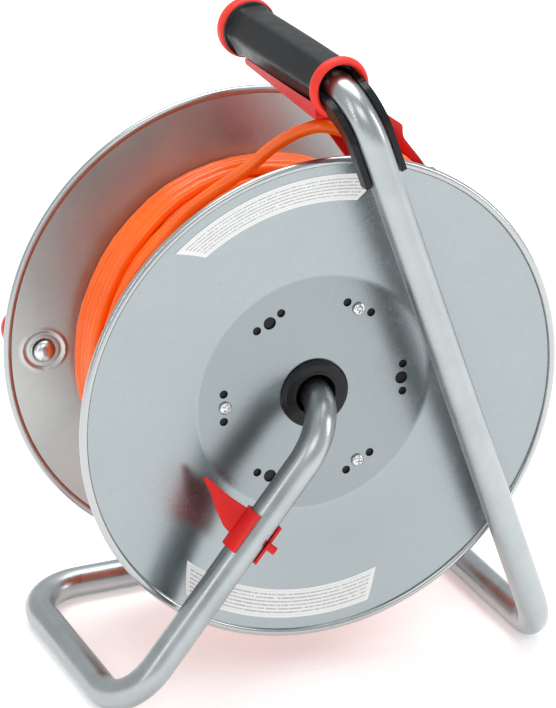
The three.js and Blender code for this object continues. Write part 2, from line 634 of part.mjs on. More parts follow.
function earthStrap() {
  const low = WELL_BACK - 1.5;
  const z = STRAP_WIDTH / 2;
  const x = STRAP_THICK / 2;
  const bar = block(-STRAP_OUT - x, STRAP_OUT + x, low, low + 1, -z, z);
  const prongs = [-1, 1].map((side) => block(
    side * STRAP_OUT - x, side * STRAP_OUT + x, low, FLANGE_TOP - 2.4, -z, z));
  const bumps = [-1, 1].map((side) => {
    const inner = side * (STRAP_OUT - 1.1);
    return block(inner - 1.1, inner + 0.8, WELL_FLOOR + 5.2, WELL_FLOOR + 12.2, -z, z);
  });
  return join(bar, ...prongs, ...bumps);
}

const LID_Y = FLANGE_TOP + GAP;
const LID_THICK = 2.4;

function socketLid() {
  const flap = turned([[0, LID_Y], [23.6, LID_Y], [23.6, LID_Y + 1.6], [22.6, LID_Y + LID_THICK],
    [0, LID_Y + LID_THICK]], 20);
  const barrel = hingeRod(2.3, LUG_FROM - 2.8);
  const neck = block(20, HINGE_OUT, LID_Y + 0.4, LID_Y + LID_THICK, -3.7, 3.7);
  const reliefs = [-1, 1].map((side) => block(
    19.8, 30, LID_Y - 1, LID_Y + 5, side * 7.2 - 3.2, side * 7.2 + 3.2));
  const bore = hingeRod(HINGE_PIN + GAP, 12);
  return cut(join(flap, barrel, neck), ...reliefs, bore);
}

const lidPin = () => hingeRod(HINGE_PIN, LUG_TO);

function lidSpring() {
  const coil = ring(1.35, 2.2, 4.2, 6, 12);
  return coil.rotateX(Math.PI / 2).translate(HINGE_OUT, HINGE_Y, 0);
}

// ---- Thermal cut-out and wiring -------------------------------------------------------
const BUTTON_RADIUS = 5;
const BUTTON_STROKE = 2.5;
const BUTTON_SEAT = 50;

function cutoutBody() {
  return turned([[0, 22], [8, 22], [8, 40], [CUTOUT_RADIUS, 42], [CUTOUT_RADIUS, FLANGE_Y],
    [12.8, FLANGE_Y], [12.8, FLANGE_Y + 1], [12, FLANGE_Y + 1.8], [BUTTON_RADIUS + GAP, FLANGE_Y + 1.8],
    [BUTTON_RADIUS + GAP, BUTTON_SEAT], [0, BUTTON_SEAT]], 24);
}

function resetButton() {
  const low = BUTTON_SEAT + BUTTON_STROKE + GAP;
  return turned([[0, low], [BUTTON_RADIUS, low], [BUTTON_RADIUS, 66], [BUTTON_RADIUS - 1, 67], [0, 67]], 20);
}

function terminalBlock() {
  const body = block(-17, 17, -20, -2, 32, 46);
  const bores = [-11, 0, 11].map((x) => rod(2.4, -30, 10, 10).translate(x, 0, 39));
  return cut(body, ...bores);
}

const glandPoint = new THREE.Vector3(GLAND.x, GLAND_Y, GLAND.z);

function coreGland() {
  return along(ring(CABLE_RADIUS + GAP, 5.2, -9, GAP * -1, 16), glandPoint, GLAND);
}

// The inner end of the cable, from the gland through the clamp to the terminal block.
const TAIL_ROUTE = [[GLAND.x * 0.85, GLAND_Y, GLAND.z * 0.85], [-12, -36, -51], [0, -36, -47.5],
  [16, -36, -41], [32, -34, -28], [41, -28, -6], [40, -18, 18], [34, -12, 34], [20, -11, 39]];
const tailPoints = TAIL_ROUTE.map((point) => new THREE.Vector3(...point));

function strainClamp() {
  const bridge = block(-7, 7, -43, -29, -53.5, -41.5);
  const heading = tailPoints[3].clone().sub(tailPoints[1]);
  return cut(bridge, along(rod(CABLE_RADIUS + 4 * GAP, -30, 30, 12), tailPoints[2], heading));
}

function cableAlong(points, steps, sides) {
  const curve = new THREE.CatmullRomCurve3(points, false, "centripetal");
  const shape = polygonShape(sides, CABLE_RADIUS, 0);
  return faceOut(new THREE.ExtrudeGeometry(shape, { steps, extrudePath: curve, bevelEnabled: false }));
}

const innerTail = () => cableAlong(tailPoints, 14, 8);

// ---- Crank ----------------------------------------------------------------------------
const KNOB_END = 99;

function crankPin() {
  return turned([[0, SEAT_Y - 3.6], [3.5, SEAT_Y - 3.2], [6.6, SEAT_Y - 0.9], [6.6, SEAT_Y - GAP],
    [4, SEAT_Y - GAP], [4, 93.6], [6.4, 93.6], [6.4, 96], [0, 96]], 20);
}

const spacerWasher = () => ring(4.4, 8, SEAT_Y + SHEET + GAP, 63.4, 20);

function crankKnob() {
  return turned([[4.5, 63.8], [11.5, 63.8], [12, 66], [9.8, 73], [11, 84], [13.4, 92], [13, 97.4],
    [11.5, KNOB_END], [7.6, KNOB_END], [7.2, 93.2], [4.5, 93.2]], 20);
}

// ---- Cable and plug -------------------------------------------------------------------
function woundCable() {
  const inner = CORE_RADIUS + GAP;
  const half = CENTRE_HALF - 0.6;
  const outerHalf = coneY(WINDING_RADIUS) - 0.6;
  return turned([[inner, -half], [CENTRE_RADIUS, -half], [WINDING_RADIUS, -outerHalf],
    [WINDING_RADIUS, outerHalf], [CENTRE_RADIUS, half], [inner, half]], 40);
}

// The free lead leaves the top of the winding, goes through the guide's eye and turns down
// behind the rear disc to the parked plug.
const LEAD_ROUTE = [[-36.3, 6, 106.8], [-27.9, 1, 114.5], [-19.3, -8, 125.1], [-12.8, -17, 136.1],
  [-6.3, -26, 145], [0.1, -35, 151.7], [6.5, -42, 155.2], [13, -46.3, 154.6], [22, -48, 151], [30, -48, 147],
  [38.5, -47.5, 141], [46.5, -45, 135], [54, -41, 129.4]];
const NECK_START = -44.5;
const LEAD_STRAIGHT = 8; // the last stretch of the lead runs straight into the plug's neck

function leadCable() {
  const points = LEAD_ROUTE.map(([x, y, z]) => new THREE.Vector3(x, y, z + HUB_HEIGHT));
  points.push(plugPoint(NECK_START - LEAD_STRAIGHT), plugPoint(NECK_START - GAP));
  return cableAlong(points, 18, 10);
}

function plugNeck() {
  return onPlug(turned([[0, NECK_START], [4.6, NECK_START], [6.6, -28], [7, -12.3], [0, -12.3]], 14));
}

function plugBody() {
  return onPlug(turned([[0, -12], [9, -12], [14.5, -6], [PLUG_RADIUS, 2], [PLUG_RADIUS, 22], [17.2, 23.5],
    [0, 23.5]], 28));
}

function plugPin(side) {
  const pin = rod(2.4, 23.8, 42.5, 12).translate((side * PIN_SPACING) / 2, 0, 0);
  return onPlug(pin);
}

// ---- Materials ------------------------------------------------------------------------
const material = (color, roughness, metalness) =>
  new THREE.MeshStandardMaterial({ color, roughness, metalness });
const zincTube = material(0xc4c8ca, 0.2, 1);
const zincSheet = material(0xb6c1c6, 0.35, 1);
const steel = material(0xc9ccce, 0.25, 1);
const brass = material(0xb9a15a, 0.3, 1);
const blackPlastic = material(0x1c1b1d, 0.45, 0);
const blackRubber = material(0x2d2c2e, 0.6, 0);
const redPlastic = material(0xd8231f, 0.35, 0);
const greyPlastic = material(0x8f9193, 0.5, 0);
const orangeCable = material(0xf2600c, 0.4, 0);

// ---- Assembly -------------------------------------------------------------------------
const reel = new THREE.Group();
const drum = new THREE.Group();
drum.position.set(0, 0, HUB_HEIGHT);
reel.add(drum);

function put(group, name, geometry, look, x = 0, y = 0, z = 0) {
  const mesh = new THREE.Mesh(geometry, look);
  mesh.name = name;
  mesh.position.set(x, y, z);
  group.add(mesh);
  return mesh;
}

put(reel, "frame_tube", frameTube(), zincTube);
put(drum, "axle_washer", axleWasher(), steel);
put(drum, "axle_clip", axleClip(), steel);
put(reel, "grip_sleeve", gripSleeve(), blackRubber);
put(reel, "grip_front_ring", gripFrontRing(), redPlastic);
put(reel, "grip_end_collar", gripEndCollar(), blackPlastic);
put(reel, "grip_end_cap", gripEndCap(), redPlastic);
put(reel, "grip_saddle", gripSaddle(), blackPlastic);
put(reel, "cable_guide", cableGuide(), redPlastic);
GUIDE_SCREWS.forEach((y, k) => put(reel, `guide_screw_${k + 1}`, guideScrew(y), steel));
put(reel, "brake_clip", brakeClip(), redPlastic);

put(drum, "rear_disc", rearDisc(), zincSheet);
put(drum, "front_disc", frontDisc(), zincSheet);
put(drum, "drum_core", drumCore(), blackPlastic);
put(drum, "rear_bush", rearBush(), blackPlastic);
put(drum, "inner_bush", innerBush(), blackPlastic);
put(drum, "socket_plate", socketPlate(), blackPlastic);
for (let k = 0; k < FIXING_COUNT; k++) {
  const place = atAngle(60 + 120 * k, FIXING_PITCH);
  const rearHead = -CENTRE_HALF - SHEET - GAP;
  put(drum, `rear_screw_${k + 1}`, drumScrew(rearHead, -1), steel, place.x, 0, place.z);
  put(drum, `plate_screw_${k + 1}`, plateScrew(), steel, place.x, 0, place.z);
}

for (let k = 0; k < SOCKET_COUNT; k++) {
  const socket = new THREE.Group();
  const centre = atAngle(socketAngle(k), SOCKET_PITCH);
  socket.position.copy(centre);
  socket.rotation.y = -THREE.MathUtils.degToRad(socketAngle(k));
  drum.add(socket);
  const n = k + 1;
  put(socket, `socket_well_${n}`, socketWell(), blackPlastic);
  put(socket, `socket_contact_a_${n}`, contactSleeve(-1), brass);
  put(socket, `socket_contact_b_${n}`, contactSleeve(1), brass);
  put(socket, `earth_strap_${n}`, earthStrap(), brass);
  put(socket, `socket_lid_${n}`, socketLid(), blackPlastic);
  put(socket, `lid_pin_${n}`, lidPin(), steel);
  put(socket, `lid_spring_${n}`, lidSpring(), steel);
}

put(drum, "cutout_body", cutoutBody(), greyPlastic);
put(drum, "reset_button", resetButton(), redPlastic);
put(drum, "terminal_block", terminalBlock(), greyPlastic);
put(drum, "core_gland", coreGland(), blackRubber);
put(drum, "strain_clamp", strainClamp(), greyPlastic);
put(drum, "inner_tail", innerTail(), orangeCable);
put(drum, "crank_pin", crankPin(), steel, CRANK.x, 0, CRANK.z);
put(drum, "crank_washer", spacerWasher(), steel, CRANK.x, 0, CRANK.z);
put(drum, "crank_knob", crankKnob(), redPlastic, CRANK.x, 0, CRANK.z);

put(drum, "wound_cable", woundCable(), orangeCable);
put(reel, "lead_cable", leadCable(), orangeCable);
put(reel, "plug_neck", plugNeck(), blackRubber);
put(reel, "plug_body", plugBody(), blackRubber);
put(reel, "plug_pin_1", plugPin(-1), steel);
put(reel, "plug_pin_2", plugPin(1), steel);

export default reel;
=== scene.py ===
# Extension cord reel: the looks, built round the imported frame. Metres, +Z up.
# The drum turns about the Y axis at HUB, and the camera side is -Y.
import json
import math

import bmesh
import bpy
from mathutils import Matrix, Vector


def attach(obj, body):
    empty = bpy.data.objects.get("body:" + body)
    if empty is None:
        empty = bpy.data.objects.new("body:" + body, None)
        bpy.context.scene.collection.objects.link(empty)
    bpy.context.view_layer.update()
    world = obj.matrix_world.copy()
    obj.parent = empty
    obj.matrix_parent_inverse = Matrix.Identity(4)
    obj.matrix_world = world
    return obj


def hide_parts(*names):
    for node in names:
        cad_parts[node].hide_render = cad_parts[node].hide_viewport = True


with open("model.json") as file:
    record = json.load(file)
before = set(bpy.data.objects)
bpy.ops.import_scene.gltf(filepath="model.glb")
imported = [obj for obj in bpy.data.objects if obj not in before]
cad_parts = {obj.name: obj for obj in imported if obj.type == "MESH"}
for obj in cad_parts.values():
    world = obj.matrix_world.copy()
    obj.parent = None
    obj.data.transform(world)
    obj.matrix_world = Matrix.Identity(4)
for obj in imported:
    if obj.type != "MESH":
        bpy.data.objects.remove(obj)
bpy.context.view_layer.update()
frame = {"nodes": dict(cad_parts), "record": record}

# ---- Place and camera ----
HUB = Vector((0, 0, 0.170))
CAMERA_AZIMUTH = -23.02
CAMERA_ELEVATION = 23.55
CAMERA_DISTANCE = 2.0525
CAMERA_LENS = 181.8
CAMERA_TARGET = HUB + Vector((-0.0005, 0, 0.0034))

# ---- Drum ----
GAP = 0.0003
DISC_RADIUS = 0.145
RIM_HALF = 0.0645
CENTRE_HALF = 0.0495
CENTRE_RADIUS = 0.071
SHEET = 0.0012
BEAD_RADIUS = 0.0024
BEAD_Y = RIM_HALF - 0.0011
SLOPE_END = DISC_RADIUS - 0.0046
FIXING_PITCH = 0.054
FIXING_COUNT = 3
SIDE_HOLE_TURN = 8.7
HUB_BORE = 0.0126
REAR_FLANGE_Y = -CENTRE_HALF - SHEET - GAP

CRANK_RADIUS = 0.122
CRANK_ANGLE = 178.6
SEAT_Y = 0.0574
SEAT_REACH = 0.017

LABEL_INNER = 0.1178
LABEL_OUTER = 0.1342
LABEL_THICK = 0.0001

# ---- Sockets ----
PLATE_RADIUS = 0.069
PLATE_FACE = 0.0615
PLATE_BACK = CENTRE_HALF + SHEET + GAP
SOCKET_COUNT = 3
SOCKET_PITCH = 0.039
WELL_RADIUS = 0.0197
WELL_OUTER = WELL_RADIUS + 0.0023
PIN_SPACING = 0.019
FLANGE_Y = PLATE_FACE + GAP
FLANGE_TOP = FLANGE_Y + 0.0015
WELL_FLOOR = FLANGE_TOP - 0.0175
WELL_BACK = WELL_FLOOR - 0.003
HINGE_OUT = 0.0256
HINGE_Y = FLANGE_TOP + 0.0028
HINGE_BORE = 0.0013
LID_Y = FLANGE_TOP + GAP
LID_TOP = LID_Y + 0.0024
LID_RADIUS = 0.0236
CUTOUT_RADIUS = 0.0107

# ---- Cable ----
CABLE_RADIUS = 0.00375
TURN_POINTS = 16
LAYER_TURNS = [13, 13, 13, 14, 14]
LAYER_STEP = 0.00661
FIRST_RADIUS = 0.07305
TOP_TURNS = 5
TOP_RADIUS = 0.1046
TOP_FROM = 0.0500
TOP_TO = 0.0195
# Where the cable leaves the core: angle in degrees, radius and y.
EXIT_ANGLE, EXIT_RADIUS, EXIT_Y = 250, 0.0702, -0.036
# The free lead, from where it lifts out of the winding to the parked plug's neck, above the hub.
LEAD_ROUTE = [(-0.0363, 0.006, 0.1068), (-0.0279, 0.001, 0.1145), (-0.0193, -0.008, 0.1251),
              (-0.0128, -0.017, 0.1361), (-0.0063, -0.026, 0.145), (0.0001, -0.035, 0.1517),
              (0.0065, -0.042, 0.1552), (0.013, -0.0463, 0.1546), (0.022, -0.048, 0.151),
              (0.030, -0.048, 0.147), (0.0385, -0.0475, 0.141), (0.0465, -0.045, 0.135),
              (0.054, -0.041, 0.1294)]
# Before that it lies on the top layer and dips in among the turns: angle, radius and y.
LEAD_TUCK = [(174, 0.0985, 0.0115), (166, 0.1012, 0.0112), (158, 0.1033, 0.0108), (149, 0.1043, 0.0104),
             (139, 0.1045, 0.010), (130, 0.1046, 0.010), (122.1, 0.1071, 0.010), (116, 0.1093, 0.009)]
PLUG_DIRECTION = Vector((0.66, 0, -0.751)).normalized()
PLUG_CENTRE = HUB + Vector((0.0954, -0.038, 0.0842))
NECK_START = -0.0445

# ---- Bent tube ----
TUBE_RADIUS = 0.009
TUBE_BORE = 0.0075
TUBE_CLEAR = 0.00975
MOUTH_DEPTH = 0.010
# Corners of the bent tube and the radii of its bends.
FRAME_CORNERS = [Vector(p) for p in (
    (0, 0.016, 0.170), (0, -0.084, 0.170), (-0.130, -0.084, 0.009), (-0.132, 0.079, 0.009),
    (0.126, 0.079, 0.009), (0.129, -0.090, 0.009), (0.0076, -0.090, 0.356), (0.002, 0.050, 0.3543))]
FRAME_BENDS = [0.035, 0.034, 0.034, 0.034, 0.027, 0.029]
LEG_TOP, FOOT_LEFT, FOOT_RIGHT, RISER_TOP, GRIP_END = (FRAME_CORNERS[i] for i in (1, 2, 5, 6, 7))
LEG_DIRECTION = (FOOT_LEFT - LEG_TOP).normalized()
RISER_DIRECTION = (RISER_TOP - FOOT_RIGHT).normalized()
GRIP_DIRECTION = (GRIP_END - RISER_TOP).normalized()

# ---- Grip and saddle ----
GRIP_RADIUS = 0.014
GRIP_FLAT = 0.0131
GRIP_CORNER = 0.0147
GRIP_START = 0.027
GRIP_LENGTH = 0.107
RING_RADIUS = 0.0175
RING_START = GRIP_START - GAP - 0.0075
CHEEK_OUTER = 0.0129
SADDLE_IN = 0.0126
SADDLE_OUT = 0.0025
PRONG_DEPTH = 0.0045
PRONG_END = 0.050

# ---- Cable guide ----
ARM_FRONT = -0.032
ARM_BACK = -0.0285
ARM_OUTLINE = [(-0.004, 0.172), (-0.004, 0.1685), (0.0022, 0.1613), (0.0107, 0.1531), (0.018, 0.1444),
               (0.0272, 0.1307), (0.037, 0.119), (0.052, 0.108), (0.064, 0.101), (0.071, 0.108),
               (0.0765, 0.1175), (0.0615, 0.1383), (0.0615, 0.145), (0.058, 0.1475), (0.051, 0.153),
               (0.030, 0.166), (0.022, 0.172)]
SHELL_OUTLINE = [(-0.0625, 0.167), (0.037, 0.168), (0.037, 0.176), (-0.0625, 0.184)]
SHELL_LEFT = -0.005
SHELL_RIGHT = 0.013
EYE = HUB + Vector((0.030, -0.048, 0.147))
EYE_DIRECTION = Vector((0.82, 0, -0.57))
EYE_BORE = 0.0052
EYE_OUTER = 0.008
STALK_HALF = 0.004
NECK_CLIP_BORE = 0.0074
NECK_CLIP_OUTER = 0.0104

# ---- Brake clip ----
CLIP_START = 0.070
CLIP_END = 0.095
CLIP_OUTER = 0.0115
CLIP_OPEN = (-62, 45)
BLADE_ANGLE = 120
BLADE_THICK = 0.0022
# The blade's outline: out from the leg, and down along it.
BLADE_OUTLINE = [(0.009, -0.0715), (0.022, -0.072), (0.039, -0.0705), (0.041, -0.072), (0.033, -0.076),
                 (0.026, -0.0815), (0.016, -0.0875), (0.009, -0.089)]

X_AXIS, Y_AXIS, Z_AXIS = (1, 0, 0), (0, 1, 0), (0, 0, 1)
TO_HUB = Matrix.Translation(HUB)


# ---- Materials ----
class Look:
    """A material with a Principled shader, and short calls for the nodes that vary it."""

    def __init__(self, name, color, roughness, metallic=0.0, **sockets):
        self.material = bpy.data.materials.new(name)
        self.material.use_nodes = True
        self.nodes = self.material.node_tree.nodes
        self.links = self.material.node_tree.links
        self.shader = self.nodes["Principled BSDF"]
        self.set("Base Color", (*color, 1))
        self.set("Roughness", roughness)
        self.set("Metallic", metallic)
        for socket, value in sockets.items():
            self.set(socket.replace("_", " "), value)

    def set(self, socket, value):
        self.shader.inputs[socket].default_value = value

    def drive(self, socket, output):
        self.links.new(output, self.shader.inputs[socket])

    def coords(self, scale=(1, 1, 1), source="Object"):
        where = self.nodes.new("ShaderNodeTexCoord")
        mapping = self.nodes.new("ShaderNodeMapping")
        mapping.inputs["Scale"].default_value = scale
        self.links.new(where.outputs[source], mapping.inputs["Vector"])
        return mapping.outputs["Vector"]

    def split(self, vector):
        node = self.nodes.new("ShaderNodeSeparateXYZ")
        self.links.new(vector, node.inputs[0])
        return node.outputs["X"], node.outputs["Y"], node.outputs["Z"]

    def paired(self, x, y):
        node = self.nodes.new("ShaderNodeCombineXYZ")
        self.links.new(x, node.inputs[0])
        self.links.new(y, node.inputs[1])
        return node.outputs[0]

    def noise(self, where, scale, detail=3.0, roughness=0.5):
        node = self.nodes.new("ShaderNodeTexNoise")
        node.inputs["Scale"].default_value = scale
        node.inputs["Detail"].default_value = detail
        node.inputs["Roughness"].default_value = roughness
        self.links.new(where, node.inputs["Vector"])
        return node.outputs["Fac"]

    def cells(self, where, scale):
        node = self.nodes.new("ShaderNodeTexVoronoi")
        node.inputs["Scale"].default_value = scale
        self.links.new(where, node.inputs["Vector"])
        split = self.nodes.new("ShaderNodeSeparateColor")
        self.links.new(node.outputs["Color"], split.inputs["Color"])
        return split.outputs["Red"]

    def remap(self, value, low, high, start=0.0, end=1.0):
        node = self.nodes.new("ShaderNodeMapRange")
        for socket, number in (("From Min", start), ("From Max", end), ("To Min", low), ("To Max", high)):
            node.inputs[socket].default_value = number
        self.links.new(value, node.inputs["Value"])
        return node.outputs["Result"]

    def math(self, operation, a, b=0.0):
        node = self.nodes.new("ShaderNodeMath")
        node.operation = operation
        for socket, value in zip(node.inputs, (a, b)):
            if isinstance(value, (int, float)):
                socket.default_value = value
            else:
                self.links.new(value, socket)
        return node.outputs["Value"]

    def add(self, a, b):
        return self.math("ADD", a, b)

    def times(self, a, b):
        return self.math("MULTIPLY", a, b)

    def near(self, value, middle, reach):
        """1 where the value is within reach of the middle, and 0 elsewhere."""
        away = self.math("ABSOLUTE", self.math("SUBTRACT", value, middle))
        return self.math("LESS_THAN", away, reach)

    def blend(self, factor, first, second):
        node = self.nodes.new("ShaderNodeMix")
        node.data_type = "RGBA"
        self.links.new(factor, node.inputs["Factor"])
        for socket, value in ((node.inputs[6], first), (node.inputs[7], second)):
            if isinstance(value, tuple):
                socket.default_value = (*value, 1)
            else:
                self.links.new(value, socket)
        return node.outputs[2]

    def bump(self, *heights):
        """Each height is (output, depth in metres). They are added on top of each other."""
        normal = None
        for height, depth in heights:
            node = self.nodes.new("ShaderNodeBump")
            node.inputs["Distance"].default_value = depth
            self.links.new(height, node.inputs["Height"])
            if normal is not None:
                self.links.new(normal, node.inputs["Normal"])
            normal = node.outputs["Normal"]
        self.drive("Normal", normal)


def shade(color, factor):
    return tuple(min(1.0, c * factor) for c in color)


def galvanised_look(name, zinc, dull=0.0):
    """Galvanised zinc with spangle and cloud. Painted shade makes each disc's flat centre darker, and its rim
    takes a fixed lighter colour as a painted highlight.
    """
    # The rim bead's fixed colour, a painted highlight.
    rim_highlight_zinc = (0.46, 0.47, 0.47)
    look = Look(name, zinc, 0.26, 1.0)
    where = look.coords()
    spangle = look.cells(where, 420)
    cloud = look.noise(where, 30, 4, 0.55)
    grain = look.noise(where, 900, 3)
    scuff = look.noise(look.coords((1, 1, 14)), 90, 6, 0.7)
    tone = look.add(look.remap(spangle, 0.1, 0.4), look.remap(cloud, 0, 0.5, 0.3, 0.7))
    coated = look.blend(tone, shade(zinc, 0.93), shade(zinc, 1.05))
    x, _, z = look.split(where)
    from_hub = look.math("SUBTRACT", z, HUB.z)
    squares = look.add(look.math("POWER", x, 2.0), look.math("POWER", from_hub, 2.0))
    radius = look.math("SQRT", squares)
    # Painted shade: the flat centre inside CENTRE_RADIUS is blended towards a darker zinc, standing in for
    # the shadow that it reflects.
    centre = look.remap(radius, 1, 0, CENTRE_RADIUS - 0.0012, CENTRE_RADIUS)
    # Painted highlight: past SLOPE_END the rim bead takes the fixed rim colour above; the same mask also
    # lowers its roughness.
    rim = look.remap(radius, 0, 1, SLOPE_END - 0.0002, SLOPE_END + 0.0006)
    painted_shade_sheet = look.blend(look.times(centre, 0.9), coated, shade(zinc, 0.80))
    look.drive("Base Color", look.blend(rim, painted_shade_sheet, rim_highlight_zinc))
    cloudy = look.remap(cloud, 0.22 + dull, 0.28 + dull, 0.3, 0.7)
    rough = look.add(cloudy, look.remap(scuff, 0, 0.014, 0.3, 0.8))
    speckled = look.add(rough, look.remap(spangle, -0.008, 0.012))
    look.drive("Roughness", look.math("SUBTRACT", speckled, look.times(rim, 0.05)))
    look.bump((grain, 0.000003), (spangle, 0.000001), (cloud, 0.00002))
    return look.material


def tube_look():
    """Bright zinc tube with faint marks drawn along it."""
    zinc = (0.43, 0.455, 0.46)
    look = Look("bright_zinc_tube", zinc, 0.12, 1.0)
    draw = look.noise(look.coords((260, 3, 1), "UV"), 1.0, 3)
    blotch = look.noise(look.coords(), 45, 4, 0.6)
    grain = look.noise(look.coords(), 1100, 2)
    wander = look.noise(look.coords(source="UV"), 8, 2)
    tone = look.add(look.remap(draw, 0, 0.4, 0.3, 0.7), look.remap(blotch, 0, 0.6, 0.35, 0.65))
    look.drive("Base Color", look.blend(tone, shade(zinc, 0.86), shade(zinc, 1.06)))
    rough = look.add(look.remap(blotch, 0.24, 0.34, 0.35, 0.7), look.remap(draw, 0, 0.08, 0.4, 0.7))
    look.drive("Roughness", rough)
    look.bump((draw, 0.000006), (grain, 0.0000015), (wander, 0.00002))
    return look.material


def metal_look(name, metal, roughness, cloud_scale, darkest, rough_range, grain_scale):
    """Bare metal of small parts, with a cloudy finish over a fine grain."""
    look = Look(name, metal, roughness, 1.0)
    cloud = look.noise(look.coords(), cloud_scale, 4)
    look.drive("Base Color", look.blend(cloud, shade(metal, darkest), shade(metal, 1.1)))
    look.drive("Roughness", look.remap(cloud, *rough_range))
    look.bump((look.noise(look.coords(), grain_scale, 2), 0.000004))
    return look.material


def plastic_look(name, color, roughness, grain_depth=0.000006, spread=0.12, specular=0.5):
    """Moulded plastic: a fine grain, faint flow marks, and worn patches that shine more."""
    look = Look(name, color, roughness, 0.0, Specular_IOR_Level=specular)
    where = look.coords()
    flow = look.noise(look.coords((1, 1, 0.4)), 35, 4, 0.6)
    wear = look.noise(where, 120, 5, 0.65)
    grain = look.noise(where, 2600, 2)
    tone = look.remap(flow, 0, 1, 0.3, 0.7)
    look.drive("Base Color", look.blend(tone, shade(color, 1 - spread), shade(color, 1 + spread)))
    look.drive("Roughness", look.add(look.remap(wear, -0.06, 0.06, 0.35, 0.65), roughness))
    look.bump((grain, grain_depth), (flow, 0.00004))
    return look.material


def cable_look():
    """Glossy orange sheath with dust on it."""
    dark, light = (0.90, 0.108, 0.003), (1.0, 0.150, 0.004)
    look = Look("orange_sheath", (0.95, 0.120, 0.004), 0.33, 0.0, Specular_IOR_Level=0.2,
                Coat_Weight=0.5, Coat_Roughness=0.06)
    where = look.coords()
    cloud = look.noise(where, 26, 4)
    dust = look.noise(where, 340, 4, 0.7)
    look.drive("Base Color", look.blend(look.remap(cloud, 0, 1, 0.3, 0.7), dark, light))
    look.drive("Roughness", look.add(look.remap(dust, 0.17, 0.26, 0.3, 0.7), look.remap(cloud, 0, 0.05)))
    look.bump((look.noise(where, 700, 3), 0.000004), (cloud, 0.00004))
    return look.material


def label_look():
    """A blank sticker with faint grey bars in place of print."""
    paper, grey = (0.80, 0.79, 0.77), (0.20, 0.21, 0.22)
    bar_rows, bars_along, row_shift = 8.0, 210.0, 9.7
    look = Look("blank_label", paper, 0.42, 0.0, Specular_IOR_Level=0.4)
    along, across, _ = look.split(look.coords(source="UV"))
    row = look.times(across, bar_rows)
    in_row = look.near(look.math("FRACT", row), 0.5, 0.21)
    seat = look.paired(look.times(along, bars_along), look.times(look.math("FLOOR", row), row_shift))
    bars = look.math("GREATER_THAN", look.noise(seat, 1.0, 2.0), 0.43)
    margin = look.times(look.near(across, 0.5, 0.42), look.near(along, 0.5, 0.475))
    ink = look.times(look.times(in_row, bars), margin)
    look.drive("Base Color", look.blend(look.times(ink, 0.62), paper, grey))
    cloud = look.noise(look.coords(), 300, 3)
    look.drive("Roughness", look.remap(cloud, 0.34, 0.5))
    look.bump((cloud, 0.00001))
    return look.material


LOOKS = {
    "zinc_tube": tube_look(),
    "zinc_sheet": galvanised_look("galvanised_sheet", (0.345, 0.378, 0.388)),
    # The far disc gets its own lighter, warmer copy of the same zinc: a painted reflection of the bright glow
    # on its inside face.
    "painted_glow_sheet": galvanised_look("galvanised_sheet_painted_glow", (0.52, 0.53, 0.515), 0.10),
    "steel": metal_look("plated_steel", (0.70, 0.70, 0.69), 0.2, 400, 0.8, (0.12, 0.32), 1500),
    "brass": metal_look("brass_contact", (0.62, 0.45, 0.16), 0.3, 300, 0.75, (0.2, 0.45), 1200),
    "black_plastic": plastic_look("black_moulding", (0.007, 0.007, 0.008), 0.32, specular=0.26),
    "black_rubber": plastic_look("black_grip_rubber", (0.008, 0.0076, 0.0084), 0.36, 0.000012, 0.12, 0.3),
    "red_plastic": plastic_look("red_moulding", (0.66, 0.009, 0.008), 0.34, 0.000004, 0.08, 0.34),
    "ring_red": plastic_look("red_grip_rubber", (0.78, 0.030, 0.018), 0.46, 0.000008, 0.06, 0.34),
    "grey_plastic": plastic_look("grey_moulding", (0.22, 0.23, 0.24), 0.45),
    "orange_cable": cable_look(),
    "label": label_look(),
}


# ---- Mesh helpers ----
def new_object(name, points, faces, uvs=None):
    mesh = bpy.data.meshes.new(name)
    mesh.from_pydata([tuple(p) for p in points], [], faces)
    if uvs is not None:
        layer = mesh.uv_layers.new(name="UVMap")
        for loop in mesh.loops:
            layer.data[loop.index].uv = uvs[loop.vertex_index]
    obj = bpy.data.objects.new(name, mesh)
    bpy.context.scene.collection.objects.link(obj)
    return obj


def clean(obj, merge=True):
    """Turns every face outwards, after merging doubled points."""
    bm = bmesh.new()
    bm.from_mesh(obj.data)
    if merge:
        bmesh.ops.remove_doubles(bm, verts=bm.verts, dist=0.000001)
    bmesh.ops.recalc_face_normals(bm, faces=bm.faces)
    bm.to_mesh(obj.data)
    bm.free()
    return obj


def merge_into(obj, other):
    """Adds another object's separate solid to this mesh."""
    bm = bmesh.new()
    bm.from_mesh(obj.data)
    bm.from_mesh(other.data)
    bm.to_mesh(obj.data)
    bm.free()
    bpy.data.objects.remove(other)


def baked(obj):
    """Applies the object's modifiers."""
    graph = bpy.context.evaluated_depsgraph_get()
    mesh = bpy.data.meshes.new_from_object(obj.evaluated_get(graph))
    obj.modifiers.clear()
    old = obj.data
    obj.data = mesh
    bpy.data.meshes.remove(old)
    return obj


def combine(obj, others, operation):
    for other in others:
        modifier = obj.modifiers.new("combine", "BOOLEAN")
        modifier.operation = operation
        modifier.solver = "EXACT"
        modifier.object = other
        baked(obj)
        bpy.data.objects.remove(other)
    return obj


def cut(obj, *tools):
    return combine(obj, tools, "DIFFERENCE")


def join(obj, *others):
    return combine(obj, others, "UNION")


def soften(obj, width, sharp=40, segments=2):
    """Rounds the edges that are sharper than an angle, then sets smooth shading."""
    if width > 0:
        bevel = obj.modifiers.new("edges", "BEVEL")
        bevel.width = width
        bevel.segments = segments
        bevel.limit_method = "ANGLE"
        bevel.angle_limit = math.radians(sharp)
        baked(obj)
    obj.data.shade_smooth()
    obj.data.set_sharp_from_angle(angle=math.radians(sharp + 5))
    return obj


def moved(obj, matrix):
    obj.data.transform(matrix)
    return obj


def turn(degrees, axis="Y"):
    return Matrix.Rotation(math.radians(degrees), 4, axis)


